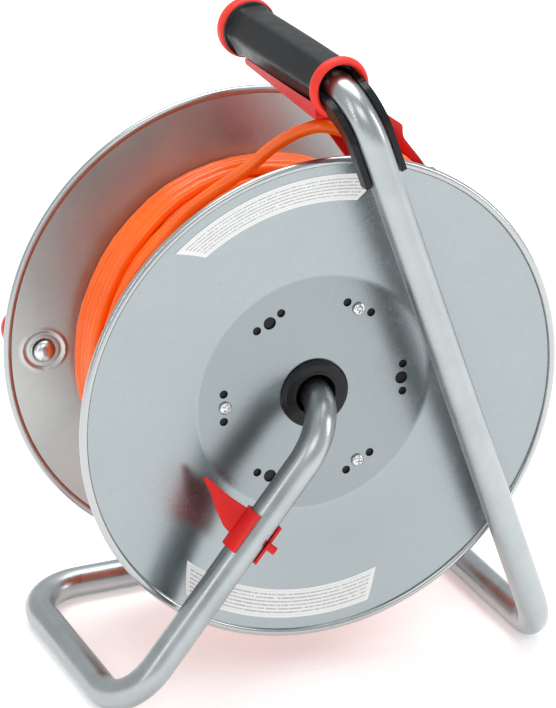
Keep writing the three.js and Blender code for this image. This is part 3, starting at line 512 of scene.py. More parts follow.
def onto(point, direction):
    """Carries the Y axis at the origin to another axis through a point."""
    rotation = Vector(Y_AXIS).rotation_difference(Vector(direction).normalized())
    return Matrix.Translation(point) @ rotation.to_matrix().to_4x4()


def at_angle(degrees, radius):
    angle = math.radians(degrees)
    return Vector((radius * math.cos(angle), 0, radius * math.sin(angle)))


def in_drum(degrees, radius, y):
    return HUB + at_angle(degrees, radius) + Vector((0, y, 0))


def circle(radius, count=48, start=0.0):
    angles = [2 * math.pi * k / count + start for k in range(count)]
    return [(radius * math.cos(angle), radius * math.sin(angle)) for angle in angles]


def bump(distance, middle, width):
    """A smooth bump of height 1."""
    return math.exp(-((distance - middle) / width) ** 2)


def filleted(points, radius, steps=4, closed=True):
    """Rounds the corners of an outline, by less where its runs are short."""
    count = len(points)
    points = [Vector(p) for p in points]
    rounded = []
    for i, corner in enumerate(points):
        if not closed and i in (0, count - 1):
            rounded.append(corner)
            continue
        back = points[i - 1] - corner
        on = points[(i + 1) % count] - corner
        reach = min(radius, 0.45 * back.length, 0.45 * on.length)
        first = corner + back.normalized() * reach
        last = corner + on.normalized() * reach
        for k in range(steps + 1):
            t = k / steps
            rounded.append(first * (1 - t) ** 2 + corner * 2 * t * (1 - t) + last * t ** 2)
    return rounded


def lofted(name, rows, loop=True, closed=True, uvs=None):
    """A skin over rows of points. closed joins each row's ends, and loop joins the last row to the first."""
    count = len(rows[0])
    faces = []
    for row in range(len(rows) if loop else len(rows) - 1):
        here, there = row * count, (row + 1) % len(rows) * count
        for i in range(count if closed else count - 1):
            j = (i + 1) % count
            faces.append((here + i, here + j, there + j, there + i))
    if closed and not loop:
        faces.append(tuple(reversed(range(count))))
        faces.append(tuple(range((len(rows) - 1) * count, len(rows) * count)))
    return new_object(name, [point for row in rows for point in row], faces, uvs)


def turned(outline, segments=96, fillet=0.0, steps=3, angles=None):
    """A solid of revolution about Y from (radius, y) points. It closes on itself or on the axis."""
    on_axis = outline[0][0] == 0 and outline[-1][0] == 0
    if fillet > 0:
        outline = filleted(outline, fillet, steps, closed=not on_axis)
    if angles is None:
        angles = [2 * math.pi * k / segments for k in range(segments)]
    rows = [[(p[0] * math.cos(angle), p[1], p[0] * math.sin(angle)) for p in outline] for angle in angles]
    return clean(lofted("turned", rows, closed=not on_axis))


def ring(inner, outer, y0, y1, segments=64):
    return turned([(inner, y0), (outer, y0), (outer, y1), (inner, y1)], segments)


def rod(radius, y0, y1, segments=48, fillet=0.0):
    return turned([(0, y0), (radius, y0), (radius, y1), (0, y1)], segments, fillet)


def slab(outline, axes, depth0, depth1):
    """A flat plate from an outline. axes is (first, second, through)."""
    first, second, through = (Vector(a) for a in axes)
    count = len(outline)
    points = [first * p[0] + second * p[1] + through * d for d in (depth0, depth1) for p in outline]
    faces = [tuple(range(count)), tuple(range(2 * count - 1, count - 1, -1))]
    faces += [(i, (i + 1) % count, count + (i + 1) % count, count + i) for i in range(count)]
    return clean(new_object("slab", points, faces))


def block(x0, x1, y0, y1, z0, z1):
    return slab([(x0, y0), (x1, y0), (x1, y1), (x0, y1)], (X_AXIS, Y_AXIS, Z_AXIS), z0, z1)


def show(obj, name, body, slot, node=None, look=None):
    """Names a finished piece, gives it to its body, and hides the CAD node that it stands for."""
    obj.name = name
    obj.data.materials.clear()
    obj.data.materials.append(LOOKS[look or slot])
    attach(obj, body)
    if node:
        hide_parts(node)
    return obj


def show_turned(outline, segments, fillet, place, *labels):
    """A turned piece that needs no cuts, put in its place. labels are what show takes."""
    return show(moved(soften(turned(outline, segments, fillet), 0), place), *labels)


# ---- Cable ----
def cone_y(radius):
    """Inside face of the front disc's cone at a given radius."""
    run = (radius - CENTRE_RADIUS) / (SLOPE_END - CENTRE_RADIUS)
    return CENTRE_HALF + max(0, run) * (RIM_HALF - 0.0021 - CENTRE_HALF)


def cable_curve(name, points):
    data = bpy.data.curves.new(name, "CURVE")
    data.dimensions = "3D"
    data.bevel_depth = CABLE_RADIUS
    data.bevel_resolution = 4
    data.resolution_u = 3
    data.use_fill_caps = True
    spline = data.splines.new("BEZIER")
    spline.bezier_points.add(len(points) - 1)
    for bezier, point in zip(spline.bezier_points, points):
        bezier.co = point
        bezier.handle_left_type = bezier.handle_right_type = "AUTO"
    obj = bpy.data.objects.new(name, data)
    bpy.context.scene.collection.objects.link(obj)
    return obj


def wave(height, pace, angle, phase=0.0):
    return height * math.sin(math.radians(pace * angle) + phase)


def add_layers(points, angle):
    """Full layers from one disc to the other and back. Each lifts onto the last in half a turn."""
    lift_points, start_points = 8, 12
    side = -1
    for layer, turns in enumerate(LAYER_TURNS):
        radius = FIRST_RADIUS + LAYER_STEP * layer
        reach = cone_y(radius) - 0.0006 - CABLE_RADIUS
        steps = turns * TURN_POINTS
        for k in range(steps):
            y = side * reach * (1 - 2 * (k / (steps - 1)))
            lift = 0
            if layer == 0:
                y += (1 - min(1, k / start_points)) * (EXIT_Y + reach)
            else:
                lift = LAYER_STEP * (1 - min(1, k / lift_points))
            sway = wave(0.0005, 2.3, angle, layer) if abs(y) < reach - 0.002 else 0
            points.append(in_drum(angle, radius - lift + wave(0.0002, 3.1, angle), y + sway))
            angle -= 360.0 / TURN_POINTS
        side = -side
    return angle


def add_loose_turns(points, angle):
    """Loose turns on top, bunched and crossing near the top of the drum. The last dips in at its end."""
    bunch_angle, bunch_width = 104, 34
    lift_points, sink_points = 8, 6
    steps = TOP_TURNS * TURN_POINTS
    below = FIRST_RADIUS + LAYER_STEP * (len(LAYER_TURNS) - 1)
    for k in range(steps):
        away = (angle - bunch_angle + 180) % 360 - 180
        bunch = bump(away, 0, bunch_width)
        over = 0.5 - 0.5 * math.cos(math.pi * (k / TURN_POINTS))
        sink = max(0, (k - (steps - sink_points)) / sink_points)
        y = TOP_FROM + (TOP_TO - TOP_FROM) * (k / (steps - 1))
        y += bunch * 0.38 * (TOP_FROM - y)
        y += wave(0.0006, 2.6, angle)
        radius = TOP_RADIUS + 0.0040 * bunch * over + wave(0.0006, 1.7, angle)
        radius -= (TOP_RADIUS - below) * (1 - min(1, k / lift_points))
        radius -= 0.006 * sink ** 2
        points.append(in_drum(angle, radius, y))
        angle -= 360.0 / TURN_POINTS


def wound_points():
    """The whole winding as one line."""
    points = [in_drum(EXIT_ANGLE, EXIT_RADIUS, EXIT_Y), in_drum(EXIT_ANGLE - 3, 0.0722, -0.0362)]
    angle = add_layers(points, EXIT_ANGLE - 6.0)
    add_loose_turns(points, angle)
    return points


def make_cables():
    wound = cable_curve("wound_cable_turns", wound_points())
    show(wound, "wound_cable_turns", "drum", "orange_cable", "wound_cable")
    route = [in_drum(*place) for place in LEAD_TUCK] + [HUB + Vector(p) for p in LEAD_ROUTE]
    route += [PLUG_CENTRE + PLUG_DIRECTION * (NECK_START + step) for step in (-0.008, 0.004)]
    lead = cable_curve("free_lead", route)
    show(lead, "free_lead", "frame", "orange_cable", "lead_cable")
    return wound, lead


# ---- Bent tube ----
def bent_path(corners, bends, steps=22):
    """Stations (point, tangent) along straight runs and round bends."""
    stations = [(corners[0], (corners[1] - corners[0]).normalized())]
    for before, corner, after, radius in zip(corners, corners[1:], corners[2:], bends):
        back = (before - corner).normalized()
        on = (after - corner).normalized()
        bend = math.pi - back.angle(on)
        reach = radius * math.tan(bend / 2)
        centre = corner + (back + on).normalized() * (radius / math.cos(bend / 2))
        first = corner + back * reach - centre
        forward = -back * radius
        for k in range(steps + 1):
            angle = bend * k / steps
            arm = first * math.cos(angle) + forward * math.sin(angle)
            heading = forward * math.cos(angle) - first * math.sin(angle)
            stations.append((centre + arm, heading.normalized()))
    stations.append((corners[-1], (corners[-1] - corners[-2]).normalized()))
    return stations


def swept(stations, outlines):
    """A tube along stations, with its length in its UVs. Each outline is a list of (across, up) points."""
    before, tangent = stations[0]
    up = tangent.orthogonal().normalized()
    rows, uvs = [], []
    travelled = 0.0
    for (point, heading), outline in zip(stations, outlines):
        up = (up - heading * up.dot(heading)).normalized()
        across = heading.cross(up)
        travelled += (point - before).length
        before = point
        rows.append([point + across * a + up * b for a, b in outline])
        uvs += [(k / len(outline), travelled) for k in range(len(outline))]
    return clean(lofted("tube", rows, loop=False, uvs=uvs), merge=False)


def make_frame_tube():
    stations = bent_path(FRAME_CORNERS, FRAME_BENDS)
    (start, heading), (end, ending) = stations[0], stations[-1]
    mouth = [circle(TUBE_BORE)] * 2
    outlines = mouth + [circle(TUBE_RADIUS)] * len(stations) + mouth
    stations = [(start + heading * MOUTH_DEPTH, heading), stations[0], *stations,
                stations[-1], (end - ending * MOUTH_DEPTH, ending)]
    show(soften(swept(stations, outlines), 0, 50), "bent_tube", "frame", "zinc_tube", "frame_tube")


def tube_clearance():
    """The space that the tube fills along the grip and its bend."""
    end = GRIP_END + GRIP_DIRECTION * 0.003
    stations = bent_path([FOOT_RIGHT, RISER_TOP, end], [FRAME_BENDS[-1]])
    return swept(stations, [circle(TUBE_CLEAR - 0.0001, 40)] * len(stations))


# ---- Discs ----
CRANK = at_angle(CRANK_ANGLE, CRANK_RADIUS)


def disc_outline(inner_radius, spacing):
    """Section of a dished disc with a rolled rim, for the side of +Y."""
    bend, rim_step = 0.0012, 0.0009

    def face(lift):
        points = [(inner_radius, CENTRE_HALF + lift), (CENTRE_RADIUS - 0.002, CENTRE_HALF + lift)]
        points.append((CENTRE_RADIUS - bend * 0.3, CENTRE_HALF + lift + 0.00003))
        points.append((CENTRE_RADIUS + bend, cone_y(CENTRE_RADIUS + bend) + lift))
        radius = CENTRE_RADIUS + bend + spacing
        while radius < SLOPE_END - spacing:
            points.append((radius, cone_y(radius) + lift))
            radius += spacing
        return points + [(r, cone_y(r) + lift) for r in (SLOPE_END - rim_step, SLOPE_END)]

    centre = DISC_RADIUS - BEAD_RADIUS
    angles = [math.radians(-142 + 284 * k / 24) for k in range(25)]
    bead = [(centre + BEAD_RADIUS * math.cos(a), BEAD_Y + BEAD_RADIUS * math.sin(a)) for a in angles]
    return face(0) + bead + face(SHEET)[::-1]


def make_rear_disc():
    """The bare disc, with three screw holes and three open holes, each between two small ones."""
    disc = turned([(r, -y) for r, y in disc_outline(HUB_BORE + 0.001, 0.02)], 240)
    drills = []
    for k in range(2 * FIXING_COUNT):
        angle = k * 180 / FIXING_COUNT
        side_pitch = FIXING_PITCH + 0.0015
        for place, pitch, radius in ((angle, FIXING_PITCH, 0.0022 if k % 2 else 0.00375),
                                     (angle - SIDE_HOLE_TURN, side_pitch, 0.0025),
                                     (angle + SIDE_HOLE_TURN, side_pitch, 0.0025)):
            drill = rod(radius, -CENTRE_HALF - 0.003, -CENTRE_HALF + 0.002, 32)
            drills.append(moved(drill, Matrix.Translation(at_angle(place, pitch))))
    for drill in drills[1:]:
        merge_into(drills[0], drill)
    cut(disc, drills[0])
    moved(soften(disc, 0, 30), TO_HUB)
    show(disc, "rear_disc_sheet", "drum", "zinc_sheet", "rear_disc")


def make_front_disc():
    """The far disc, meshed finely round the crank pin, where a seat is pressed into it."""
    near, fine_steps, coarse_steps = 9, 54, 200
    span = 360 - 2 * near
    angles = [CRANK_ANGLE - near + near * k / (fine_steps / 2) for k in range(fine_steps + 1)]
    angles += [CRANK_ANGLE + near + span * k / coarse_steps for k in range(1, coarse_steps)]
    disc = turned(disc_outline(0.0625, 0.0007), angles=[math.radians(angle) for angle in angles])
    for vertex in disc.data.vertices:
        away = (Vector((vertex.co.x, 0, vertex.co.z)) - CRANK).length
        if away > SEAT_REACH or vertex.co.y > BEAD_Y + 0.003:
            continue
        vertex.co.y -= 0.0006 * bump(away, 0.0122, 0.0009)
        vertex.co.y += 0.0004 * bump(away, 0.0100, 0.0008)
    moved(soften(disc, 0, 30), TO_HUB)
    # The far disc wears the lighter copy of the zinc, a painted reflection.
    show(disc, "front_disc_sheet", "drum", "zinc_sheet", "front_disc", "painted_glow_sheet")


def make_label(name, start, end, slant):
    """A curved sticker on the rear disc's cone, between two angles in degrees."""
    columns, lines = 90, 8
    rows, uvs = [], []
    for i in range(columns + 1):
        row = []
        for j in range(lines + 1):
            u, v = i / columns, j / lines
            radius = LABEL_INNER + (LABEL_OUTER - LABEL_INNER) * v
            angle = start + (end - start) * u + slant * (v - 0.5) * (1 - 2 * u)
            y = -(cone_y(radius) + SHEET + 0.00012)
            row.append(at_angle(angle, radius) + Vector((0, y, 0)))
            uvs.append((u, v))
        rows.append(row)
    label = clean(lofted(name, rows, loop=False, closed=False, uvs=uvs), merge=False)
    thick = label.modifiers.new("thickness", "SOLIDIFY")
    thick.thickness = LABEL_THICK
    thick.offset = 0
    moved(soften(baked(label), 0, 30), TO_HUB)
    show(label, name, "drum", "grey_plastic", look="label")


# ---- Hub and screws ----
def make_rear_bush():
    face = REAR_FLANGE_Y - 0.0024
    outline = [(0.0119, face - 0.0003), (0.0132, face - 0.0003), (0.0137, face), (0.0180, face),
               (0.0188, face + 0.0006), (0.0203, face + 0.0010), (0.0203, REAR_FLANGE_Y),
               (HUB_BORE - GAP, REAR_FLANGE_Y), (HUB_BORE - GAP, -0.030), (TUBE_CLEAR, -0.030),
               (TUBE_CLEAR, -0.0405), (0.0106, -0.0412), (0.0109, -0.0445)]
    show_turned(outline, 120, 0.0004, TO_HUB, "hub_bush", "drum", "black_plastic", "rear_bush")


def cross_screw():
    """A pan head with a cross recess, its seat at the origin and its head towards -Y."""
    wing, slot, core = 0.0021, 0.00045, 0.0009
    head = turned([(0, -0.0021), (0.0012, -0.0021), (0.0026, -0.0018), (0.0035, -0.0011), (0.0037, -0.0004),
                   (0.0037, 0), (0.0015, 0), (0.0015, 0.0098), (0, 0.0103)], 40)
    slots = [moved(block(-wing, wing, -0.0030, -0.0010, -slot, slot), turn(angle)) for angle in (20, 110)]
    slots.append(moved(block(-core, core, -0.003, -0.0008, -core, core), turn(65)))
    return soften(cut(head, *slots), 0.00012)


def make_screws():
    for k in range(FIXING_COUNT):
        seat = at_angle(60 + 120 * k, FIXING_PITCH)
        rear = Matrix.Translation(seat + Vector((0, REAR_FLANGE_Y, 0))) @ turn(37 * k)
        front = Matrix.Translation(seat + Vector((0, PLATE_FACE - 0.0027, 0))) @ turn(180, "X") @ turn(50 * k)
        for side, place in (("rear", rear), ("plate", front)):
            screw = moved(cross_screw(), TO_HUB @ place)
            show(screw, f"{side}_screw_head_{k + 1}", "drum", "steel", f"{side}_screw_{k + 1}")


# ---- Grip and saddle ----
ON_GRIP = onto(RISER_TOP, GRIP_DIRECTION)


def grip_section(distance):
    """A hexagon with round corners and a flat on top, slightly fuller in the middle."""
    count, rounding = 72, 0.0004
    t = (distance - GRIP_START) / GRIP_LENGTH
    full = GRIP_FLAT + 0.0004 * math.sin(math.pi * t)
    corner = GRIP_CORNER + 0.0003 * math.sin(math.pi * t)
    flare = 0.0012 * bump(t, 1.0, 0.035) + 0.0003 * bump(t, 0.0, 0.03)
    points = []
    for k in range(count):
        angle = 2 * math.pi * k / count
        off = (angle + math.pi / 6) % (math.pi / 3) - math.pi / 6
        flat = full / math.cos(off)
        radius = -rounding * math.log(math.exp(-flat / rounding) + math.exp(-corner / rounding)) + flare
        points.append((radius * math.cos(angle + math.pi / 2), radius * math.sin(angle + math.pi / 2)))
    return points


def make_grip_sleeve():
    """The rubber sleeve, lofted along its outside and back through its bore."""
    steps = 60
    end = GRIP_START + GRIP_LENGTH
    rows = []
    for k in range(steps + 1):
        distance = GRIP_START + GRIP_LENGTH * k / steps
        rows.append([Vector((x, distance, z)) for x, z in grip_section(distance)])
    bore = circle(TUBE_CLEAR, len(rows[0]), math.pi / 2)
    for distance, widen in ((end, 1), (GRIP_START + 0.012, 1), (GRIP_START, 1.12)):
        rows.append([Vector((x * widen, distance, z * widen)) for x, z in bore])
    sleeve = moved(clean(lofted("sleeve", rows)), ON_GRIP)
    cut(sleeve, tube_clearance())
    show(soften(sleeve, 0), "grip_rubber", "frame", "black_rubber", "grip_sleeve")


def make_grip_ends():
    end = GRIP_START - GAP
    front = turned([
        (0.0132, RING_START + 0.0015), (0.0140, RING_START + 0.0002), (0.0154, RING_START - 0.0002),
        (0.0168, RING_START + 0.0012), (RING_RADIUS, RING_START + 0.0034),
        (RING_RADIUS - 0.0002, end - 0.0026), (0.0162, end - 0.0004), (0.0146, end),
        (0.0132, end)], 96, 0.0012, 4)
    moved(front, ON_GRIP)
    cut(front, tube_clearance())
    show(soften(front, 0), "front_ring", "frame", "red_plastic", "grip_front_ring", "ring_red")
    start = GRIP_START + GRIP_LENGTH + GAP
    collar = [(TUBE_CLEAR, start), (0.0144, start), (0.0150, start + 0.0006), (0.0162, start + 0.0012),
              (0.0163, start + 0.0030), (TUBE_CLEAR, start + 0.0030)]
    show_turned(collar, 96, 0.0004, ON_GRIP, "end_collar", "frame", "black_plastic", "grip_end_collar")
    start += 0.003 + GAP
    cap = [(TUBE_CLEAR, start), (0.0160, start), (0.0172, start + 0.0010), (RING_RADIUS, start + 0.0035),
           (0.0170, start + 0.0072), (0.0150, start + 0.0095), (0.0110, start + 0.0113), (0, start + 0.013),
           (0, start + 0.0105), (TUBE_CLEAR, start + 0.0100)]
    show_turned(cap, 96, 0.0010, ON_GRIP, "end_cap", "frame", "red_plastic", "grip_end_cap", "ring_red")


def make_saddle():
    """A channel behind the tube, from inside the front ring to two prongs on the riser."""
    path = bent_path([RISER_TOP - RISER_DIRECTION * PRONG_END, RISER_TOP,
                      RISER_TOP + GRIP_DIRECTION * (GRIP_START - GAP)], [FRAME_BENDS[-1] - 0.003], 24)
    side = RISER_DIRECTION.cross(GRIP_DIRECTION).normalized()
    across = side.cross(RISER_DIRECTION).normalized()
    outside, inside = [], []
    for i, (point, tangent) in enumerate(path):
        out = tangent.cross(side).normalized()
        round_bend = max(0, i - 1) / (len(path) - 2)
        outside.append(point + out * SADDLE_OUT)
        inside.append(point - out * (PRONG_DEPTH + (SADDLE_IN - PRONG_DEPTH) * round_bend))
    outline = [((p - RISER_TOP).dot(across), (p - RISER_TOP).dot(RISER_DIRECTION))
               for p in outside + inside[::-1]]
    body = slab(outline, (across, RISER_DIRECTION, side), -CHEEK_OUTER, CHEEK_OUTER)
    moved(body, Matrix.Translation(RISER_TOP))
    # Inside the front ring, the saddle is no wider than the ring's bore.
    mouth = moved(ring(0.0129, 0.040, -0.060, GRIP_START), ON_GRIP)
    keep = moved(block(-0.040, 0.040, RING_START - 0.060, RING_START - GAP, -0.090, 0.040), ON_GRIP)
    cut(body, tube_clearance(), cut(mouth, keep))
    show(soften(body, 0.0006, 40, 3), "tube_saddle", "frame", "black_plastic", "grip_saddle")


# ---- Cable guide ----
ON_PLUG = onto(PLUG_CENTRE, PLUG_DIRECTION)


def make_cable_guide():
    """A shell under the grip, an arm down to the plug's clip, and an eye for the lead."""
    guide = slab(filleted(SHELL_OUTLINE, 0.002), (Y_AXIS, Z_AXIS, X_AXIS), SHELL_LEFT, SHELL_RIGHT)
    moved(guide, TO_HUB)
    arm = slab(filleted(ARM_OUTLINE, 0.004, 5), (X_AXIS, Z_AXIS, Y_AXIS), ARM_FRONT, ARM_BACK)
    moved(arm, TO_HUB)
    eye = moved(ring(EYE_BORE, EYE_OUTER, -0.003, 0.003, 48), onto(EYE, EYE_DIRECTION))
    stalk = block(EYE.x - STALK_HALF, EYE.x + STALK_HALF, EYE.y + 0.0058, ARM_FRONT + 0.001,
                  EYE.z - STALK_HALF, EYE.z + STALK_HALF)
    clip = moved(ring(NECK_CLIP_BORE, NECK_CLIP_OUTER, -0.037, -0.029, 48), ON_PLUG)
    bore = moved(rod(NECK_CLIP_BORE, -0.060, -0.020), ON_PLUG)
    join(guide, arm, eye, stalk, clip)
    ring_space = moved(rod(RING_RADIUS + GAP, 0, GRIP_START, 64), ON_GRIP)
    grip_end = GRIP_START + GRIP_LENGTH + 0.020
    sleeve_space = moved(rod(GRIP_RADIUS + 0.001, GRIP_START - 0.001, grip_end, 64), ON_GRIP)
    cut(guide, bore, ring_space, sleeve_space)
    show(soften(guide, 0.0005), "red_guide", "frame", "red_plastic", "cable_guide")


# ---- Brake clip ----
def make_brake_clip():
    """An open ring on the left leg, with a leaf-shaped blade, a knob and a gusset."""
    # In the clip's own frame x points straight out (-Y), z to the left and y up the leg.
    reach, stud_foot = 0.030, 0.0099
    knob = (0.0024, 0.016, -0.0825, -1.03, 0.0006)
    gusset = (0.003, 0.014, -0.076, 2.55, 0)
    body = ring(TUBE_CLEAR, CLIP_OUTER, -CLIP_END, -CLIP_START, 96)
    low, high = (math.radians(angle) for angle in CLIP_OPEN)
    middle, half = (low + high) / 2, (high - low) / 2
    corners = [(0, 0)]
    for angle, out in ((low, reach), (middle, reach / math.cos(half)), (high, reach)):
        corners.append((out * math.cos(angle), out * math.sin(angle)))
    cut(body, slab(corners, (X_AXIS, Z_AXIS, Y_AXIS), -CLIP_END - 0.01, -CLIP_START + 0.01))
    half_blade = BLADE_THICK / 2
    blade = slab(filleted(BLADE_OUTLINE, 0.0015), (X_AXIS, Y_AXIS, Z_AXIS), -half_blade, half_blade)
    moved(blade, turn(-BLADE_ANGLE))
    studs = []
    for radius, top, y, angle, fillet in (knob, gusset):
        stud = rod(radius, stud_foot, top, 32, fillet)
        studs.append(moved(stud, onto((0, y, 0), (math.cos(angle), 0, math.sin(angle)))))
    join(body, blade, *studs)
    cut(body, rod(TUBE_CLEAR, -CLIP_END - 0.005, -CLIP_START + 0.005, 96))
    soften(body, 0.0005, 40, 3)
    outward, upward = Vector((0, -1, 0)), -LEG_DIRECTION
    basis = Matrix((outward, upward, outward.cross(upward))).transposed().to_4x4()
    moved(body, Matrix.Translation(LEG_TOP) @ basis)
    show(body, "leg_clip", "brake_clip", "red_plastic", "brake_clip")


# ---- Socket side ----
def socket_angle(k):
    return k * 360 / SOCKET_COUNT


def socket_matrix(k):
    return TO_HUB @ Matrix.Translation(at_angle(socket_angle(k), SOCKET_PITCH)) @ turn(-socket_angle(k))


def make_socket_plate():
    edge, face, below = PLATE_RADIUS, PLATE_FACE, PLATE_BACK - 0.002
    plate = turned([
        (0, PLATE_BACK), (edge, PLATE_BACK), (edge, face - 0.003), (edge - 0.0006, face - 0.0012),
        (edge - 0.0025, face), (edge - 0.0045, face), (edge - 0.0052, face - 0.0006), (edge - 0.0060, face),
        (0, face)], 144)
    tools = [rod(CUTOUT_RADIUS + GAP, below, face + 0.002)]
    for k in range(SOCKET_COUNT):
        screw_angle = socket_angle(k) + 60
        for radius, low, pitch, angle in ((WELL_OUTER + 0.0005, below, SOCKET_PITCH, socket_angle(k)),
                                          (0.002, below, FIXING_PITCH, screw_angle),
                                          (0.0044, face - 0.003, FIXING_PITCH, screw_angle)):
            tools.append(moved(rod(radius, low, face + 0.002), Matrix.Translation(at_angle(angle, pitch))))
    cut(plate, *tools)
    moved(soften(plate, 0.0003), TO_HUB)
    show(plate, "socket_face_plate", "drum", "black_plastic", "socket_plate")


def hinge_rod(radius, half):
    lying = moved(rod(radius, -half, half, 32), turn(90, "X"))
    return moved(lying, Matrix.Translation((HINGE_OUT, HINGE_Y, 0)))


def make_socket_well(k):
    """A socket's cup, with two hinge lugs, two contact holes and two slots for the earth straps."""
    lug_out, lug_z, lug_half = (0.0205, 0.0276), 0.008, 0.0014
    slot_half, slot_half_width = 0.0011, 0.0026
    through = WELL_BACK - 0.002
    cup = turned([
        (0, WELL_BACK), (WELL_OUTER, WELL_BACK), (WELL_OUTER, FLANGE_Y), (0.0245, FLANGE_Y),
        (0.0245, FLANGE_TOP - 0.0005), (0.024, FLANGE_TOP), (WELL_RADIUS + 0.0005, FLANGE_TOP),
        (WELL_RADIUS, FLANGE_TOP - 0.0005), (WELL_RADIUS, WELL_FLOOR), (0, WELL_FLOOR)], 96)
    for side in (-1, 1):
        lug = side * lug_z
        join(cup, block(*lug_out, FLANGE_Y, HINGE_Y + 0.002, lug - lug_half, lug + lug_half))
        hole = moved(rod(0.0029, through, WELL_FLOOR + 0.001, 32),
                     Matrix.Translation((0, 0, side * PIN_SPACING / 2)))
        strap = side * 0.019
        slot = block(strap - slot_half, strap + slot_half, through, FLANGE_TOP - 0.0016,
                     -slot_half_width, slot_half_width)
        cut(cup, hole, slot)
    inside = rod(WELL_RADIUS - 0.00001, WELL_FLOOR + 0.0001, FLANGE_TOP + 0.005, 96)
    cut(cup, hinge_rod(HINGE_BORE, 0.012), inside)
    moved(soften(cup, 0.0003), socket_matrix(k))
    show(cup, f"socket_cup_{k + 1}", "drum", "black_plastic", f"socket_well_{k + 1}")


def make_socket_lid(k):
    """A round flap with a raised rim, a hinge knuckle between the lugs and a finger bar."""
    knuckle_half, relief_z, relief_half = 0.0037, 0.0072, 0.0032
    flap = turned([
        (0, LID_Y), (LID_RADIUS, LID_Y), (LID_RADIUS, LID_Y + 0.0014), (0.0232, LID_Y + 0.0020),
        (0.0224, LID_TOP), (0.0185, LID_TOP), (0.0179, LID_Y + 0.0019), (0.0170, LID_Y + 0.0018),
        (0, LID_TOP)], 96)
    knuckle = block(0.020, HINGE_OUT, LID_Y + 0.0004, LID_TOP, -knuckle_half, knuckle_half)
    join(flap, knuckle, hinge_rod(0.0023, 0.0038))
    for side in (-1, 1):
        relief = side * relief_z
        cut(flap, block(0.0198, 0.030, LID_Y - 0.001, LID_Y + 0.005,
                        relief - relief_half, relief + relief_half))
    finger = moved(rod(0.0016, -0.0065, 0.0065, 24), turn(90, "X"))
    join(flap, moved(finger, Matrix.Translation((-0.0205, LID_Y + 0.0020, 0))))
    cut(flap, hinge_rod(HINGE_BORE, 0.012))
    moved(soften(flap, 0.0003), socket_matrix(k))
    show(flap, f"lid_flap_{k + 1}", f"lid_{k + 1}", "black_plastic", f"socket_lid_{k + 1}")


def make_cutout():
    """The thermal cut-out in the middle of the sockets, and its reset button."""
    housing = [(0, 0.022), (0.008, 0.022), (0.008, 0.040), (CUTOUT_RADIUS, 0.042), (CUTOUT_RADIUS, FLANGE_Y),
               (0.0128, FLANGE_Y), (0.0128, FLANGE_Y + 0.001), (0.012, FLANGE_Y + 0.0018),
               (0.0062, FLANGE_Y + 0.0018), (0.0053, FLANGE_Y + 0.0012), (0.0053, 0.050), (0, 0.050)]
    show_turned(housing, 80, 0.0003, TO_HUB, "cutout_housing", "drum", "grey_plastic", "cutout_body")
    button = [(0, 0.0528), (0.005, 0.0528), (0.005, 0.0662), (0.0046, 0.0668), (0.0034, 0.0669), (0, 0.0664)]
    show_turned(button, 64, 0.0004, TO_HUB, "reset_button_cap", "reset_button", "red_plastic", "reset_button")


# ---- Crank ----
def make_crank():
    at_crank = TO_HUB @ Matrix.Translation(CRANK)
    seat, washer_y = SEAT_Y - 0.0003, SEAT_Y + SHEET + GAP
    pin = [(0, SEAT_Y - 0.0038), (0.0018, SEAT_Y - 0.0037), (0.0036, SEAT_Y - 0.0032),
           (0.0052, SEAT_Y - 0.0023), (0.0062, SEAT_Y - 0.0012), (0.0066, seat), (0.004, seat),
           (0.004, 0.0936), (0.0064, 0.0936), (0.0064, 0.0956), (0.0058, 0.096), (0, 0.096)]
    show_turned(pin, 64, 0, at_crank, "crank_rivet", "drum", "steel", "crank_pin")
    washer = [(0.0044, washer_y), (0.008, washer_y), (0.008, 0.0634), (0.0044, 0.0634)]
    show_turned(washer, 64, 0.0004, at_crank, "crank_spacer", "drum", "steel", "crank_washer")
    knob = [(0.0045, 0.0638), (0.0112, 0.0638), (0.0120, 0.0648), (0.0119, 0.0668), (0.0104, 0.0700),
            (0.0098, 0.0735), (0.0101, 0.0790), (0.0112, 0.0850), (0.0127, 0.0905), (0.0134, 0.0940),
            (0.0132, 0.0970), (0.0122, 0.0987), (0.0108, 0.0990), (0.0080, 0.0990), (0.0074, 0.0984),
            (0.0072, 0.0932), (0.0045, 0.0932)]
    show_turned(knob, 96, 0.0006, at_crank, "crank_handle", "crank_knob", "red_plastic", "crank_knob")


# ---- Plug ----
def make_plug():
    """A plain two-pin plug with a ribbed, tapered strain relief."""
    thin, thick, ribs_start, ribs_end = 0.0052, 0.007, -0.040, -0.0123
    neck = [(0, NECK_START), (0.0046, NECK_START), (thin, ribs_start)]
    for k in range(1, 12):
        rib = 0.0004 if k % 2 else -0.0003
        neck.append((thin + (thick - thin) * k / 12 + rib, ribs_start + 0.0022 * k))
    neck += [(thick, ribs_end), (0, ribs_end)]
    pieces = [show_turned(neck, 48, 0, ON_PLUG, "plug_strain_relief", "frame", "black_rubber", "plug_neck")]
    body = [(0, -0.012), (0.0086, -0.012), (0.0096, -0.0112), (0.0125, -0.0080), (0.0148, -0.0050),
            (0.0168, -0.0010), (0.0177, 0.0030), (0.018, 0.0080), (0.0176, 0.0100), (0.0176, 0.0150),
            (0.018, 0.0170), (0.018, 0.0220), (0.0172, 0.0235), (0, 0.0235)]
    pieces.append(show_turned(body, 96, 0.0006, ON_PLUG, "plug_shell", "frame", "black_rubber", "plug_body"))
    pin = [(0, 0.0238), (0.0024, 0.0238), (0.0024, 0.0410), (0.0019, 0.0422), (0, 0.0425)]
    for number, side in ((1, -1), (2, 1)):
        place = ON_PLUG @ Matrix.Translation((side * PIN_SPACING / 2, 0, 0))
        pieces.append(show_turned(pin, 32, 0, place, f"plug_prong_{number}", "frame", "steel",
                                  f"plug_pin_{number}"))
    return pieces


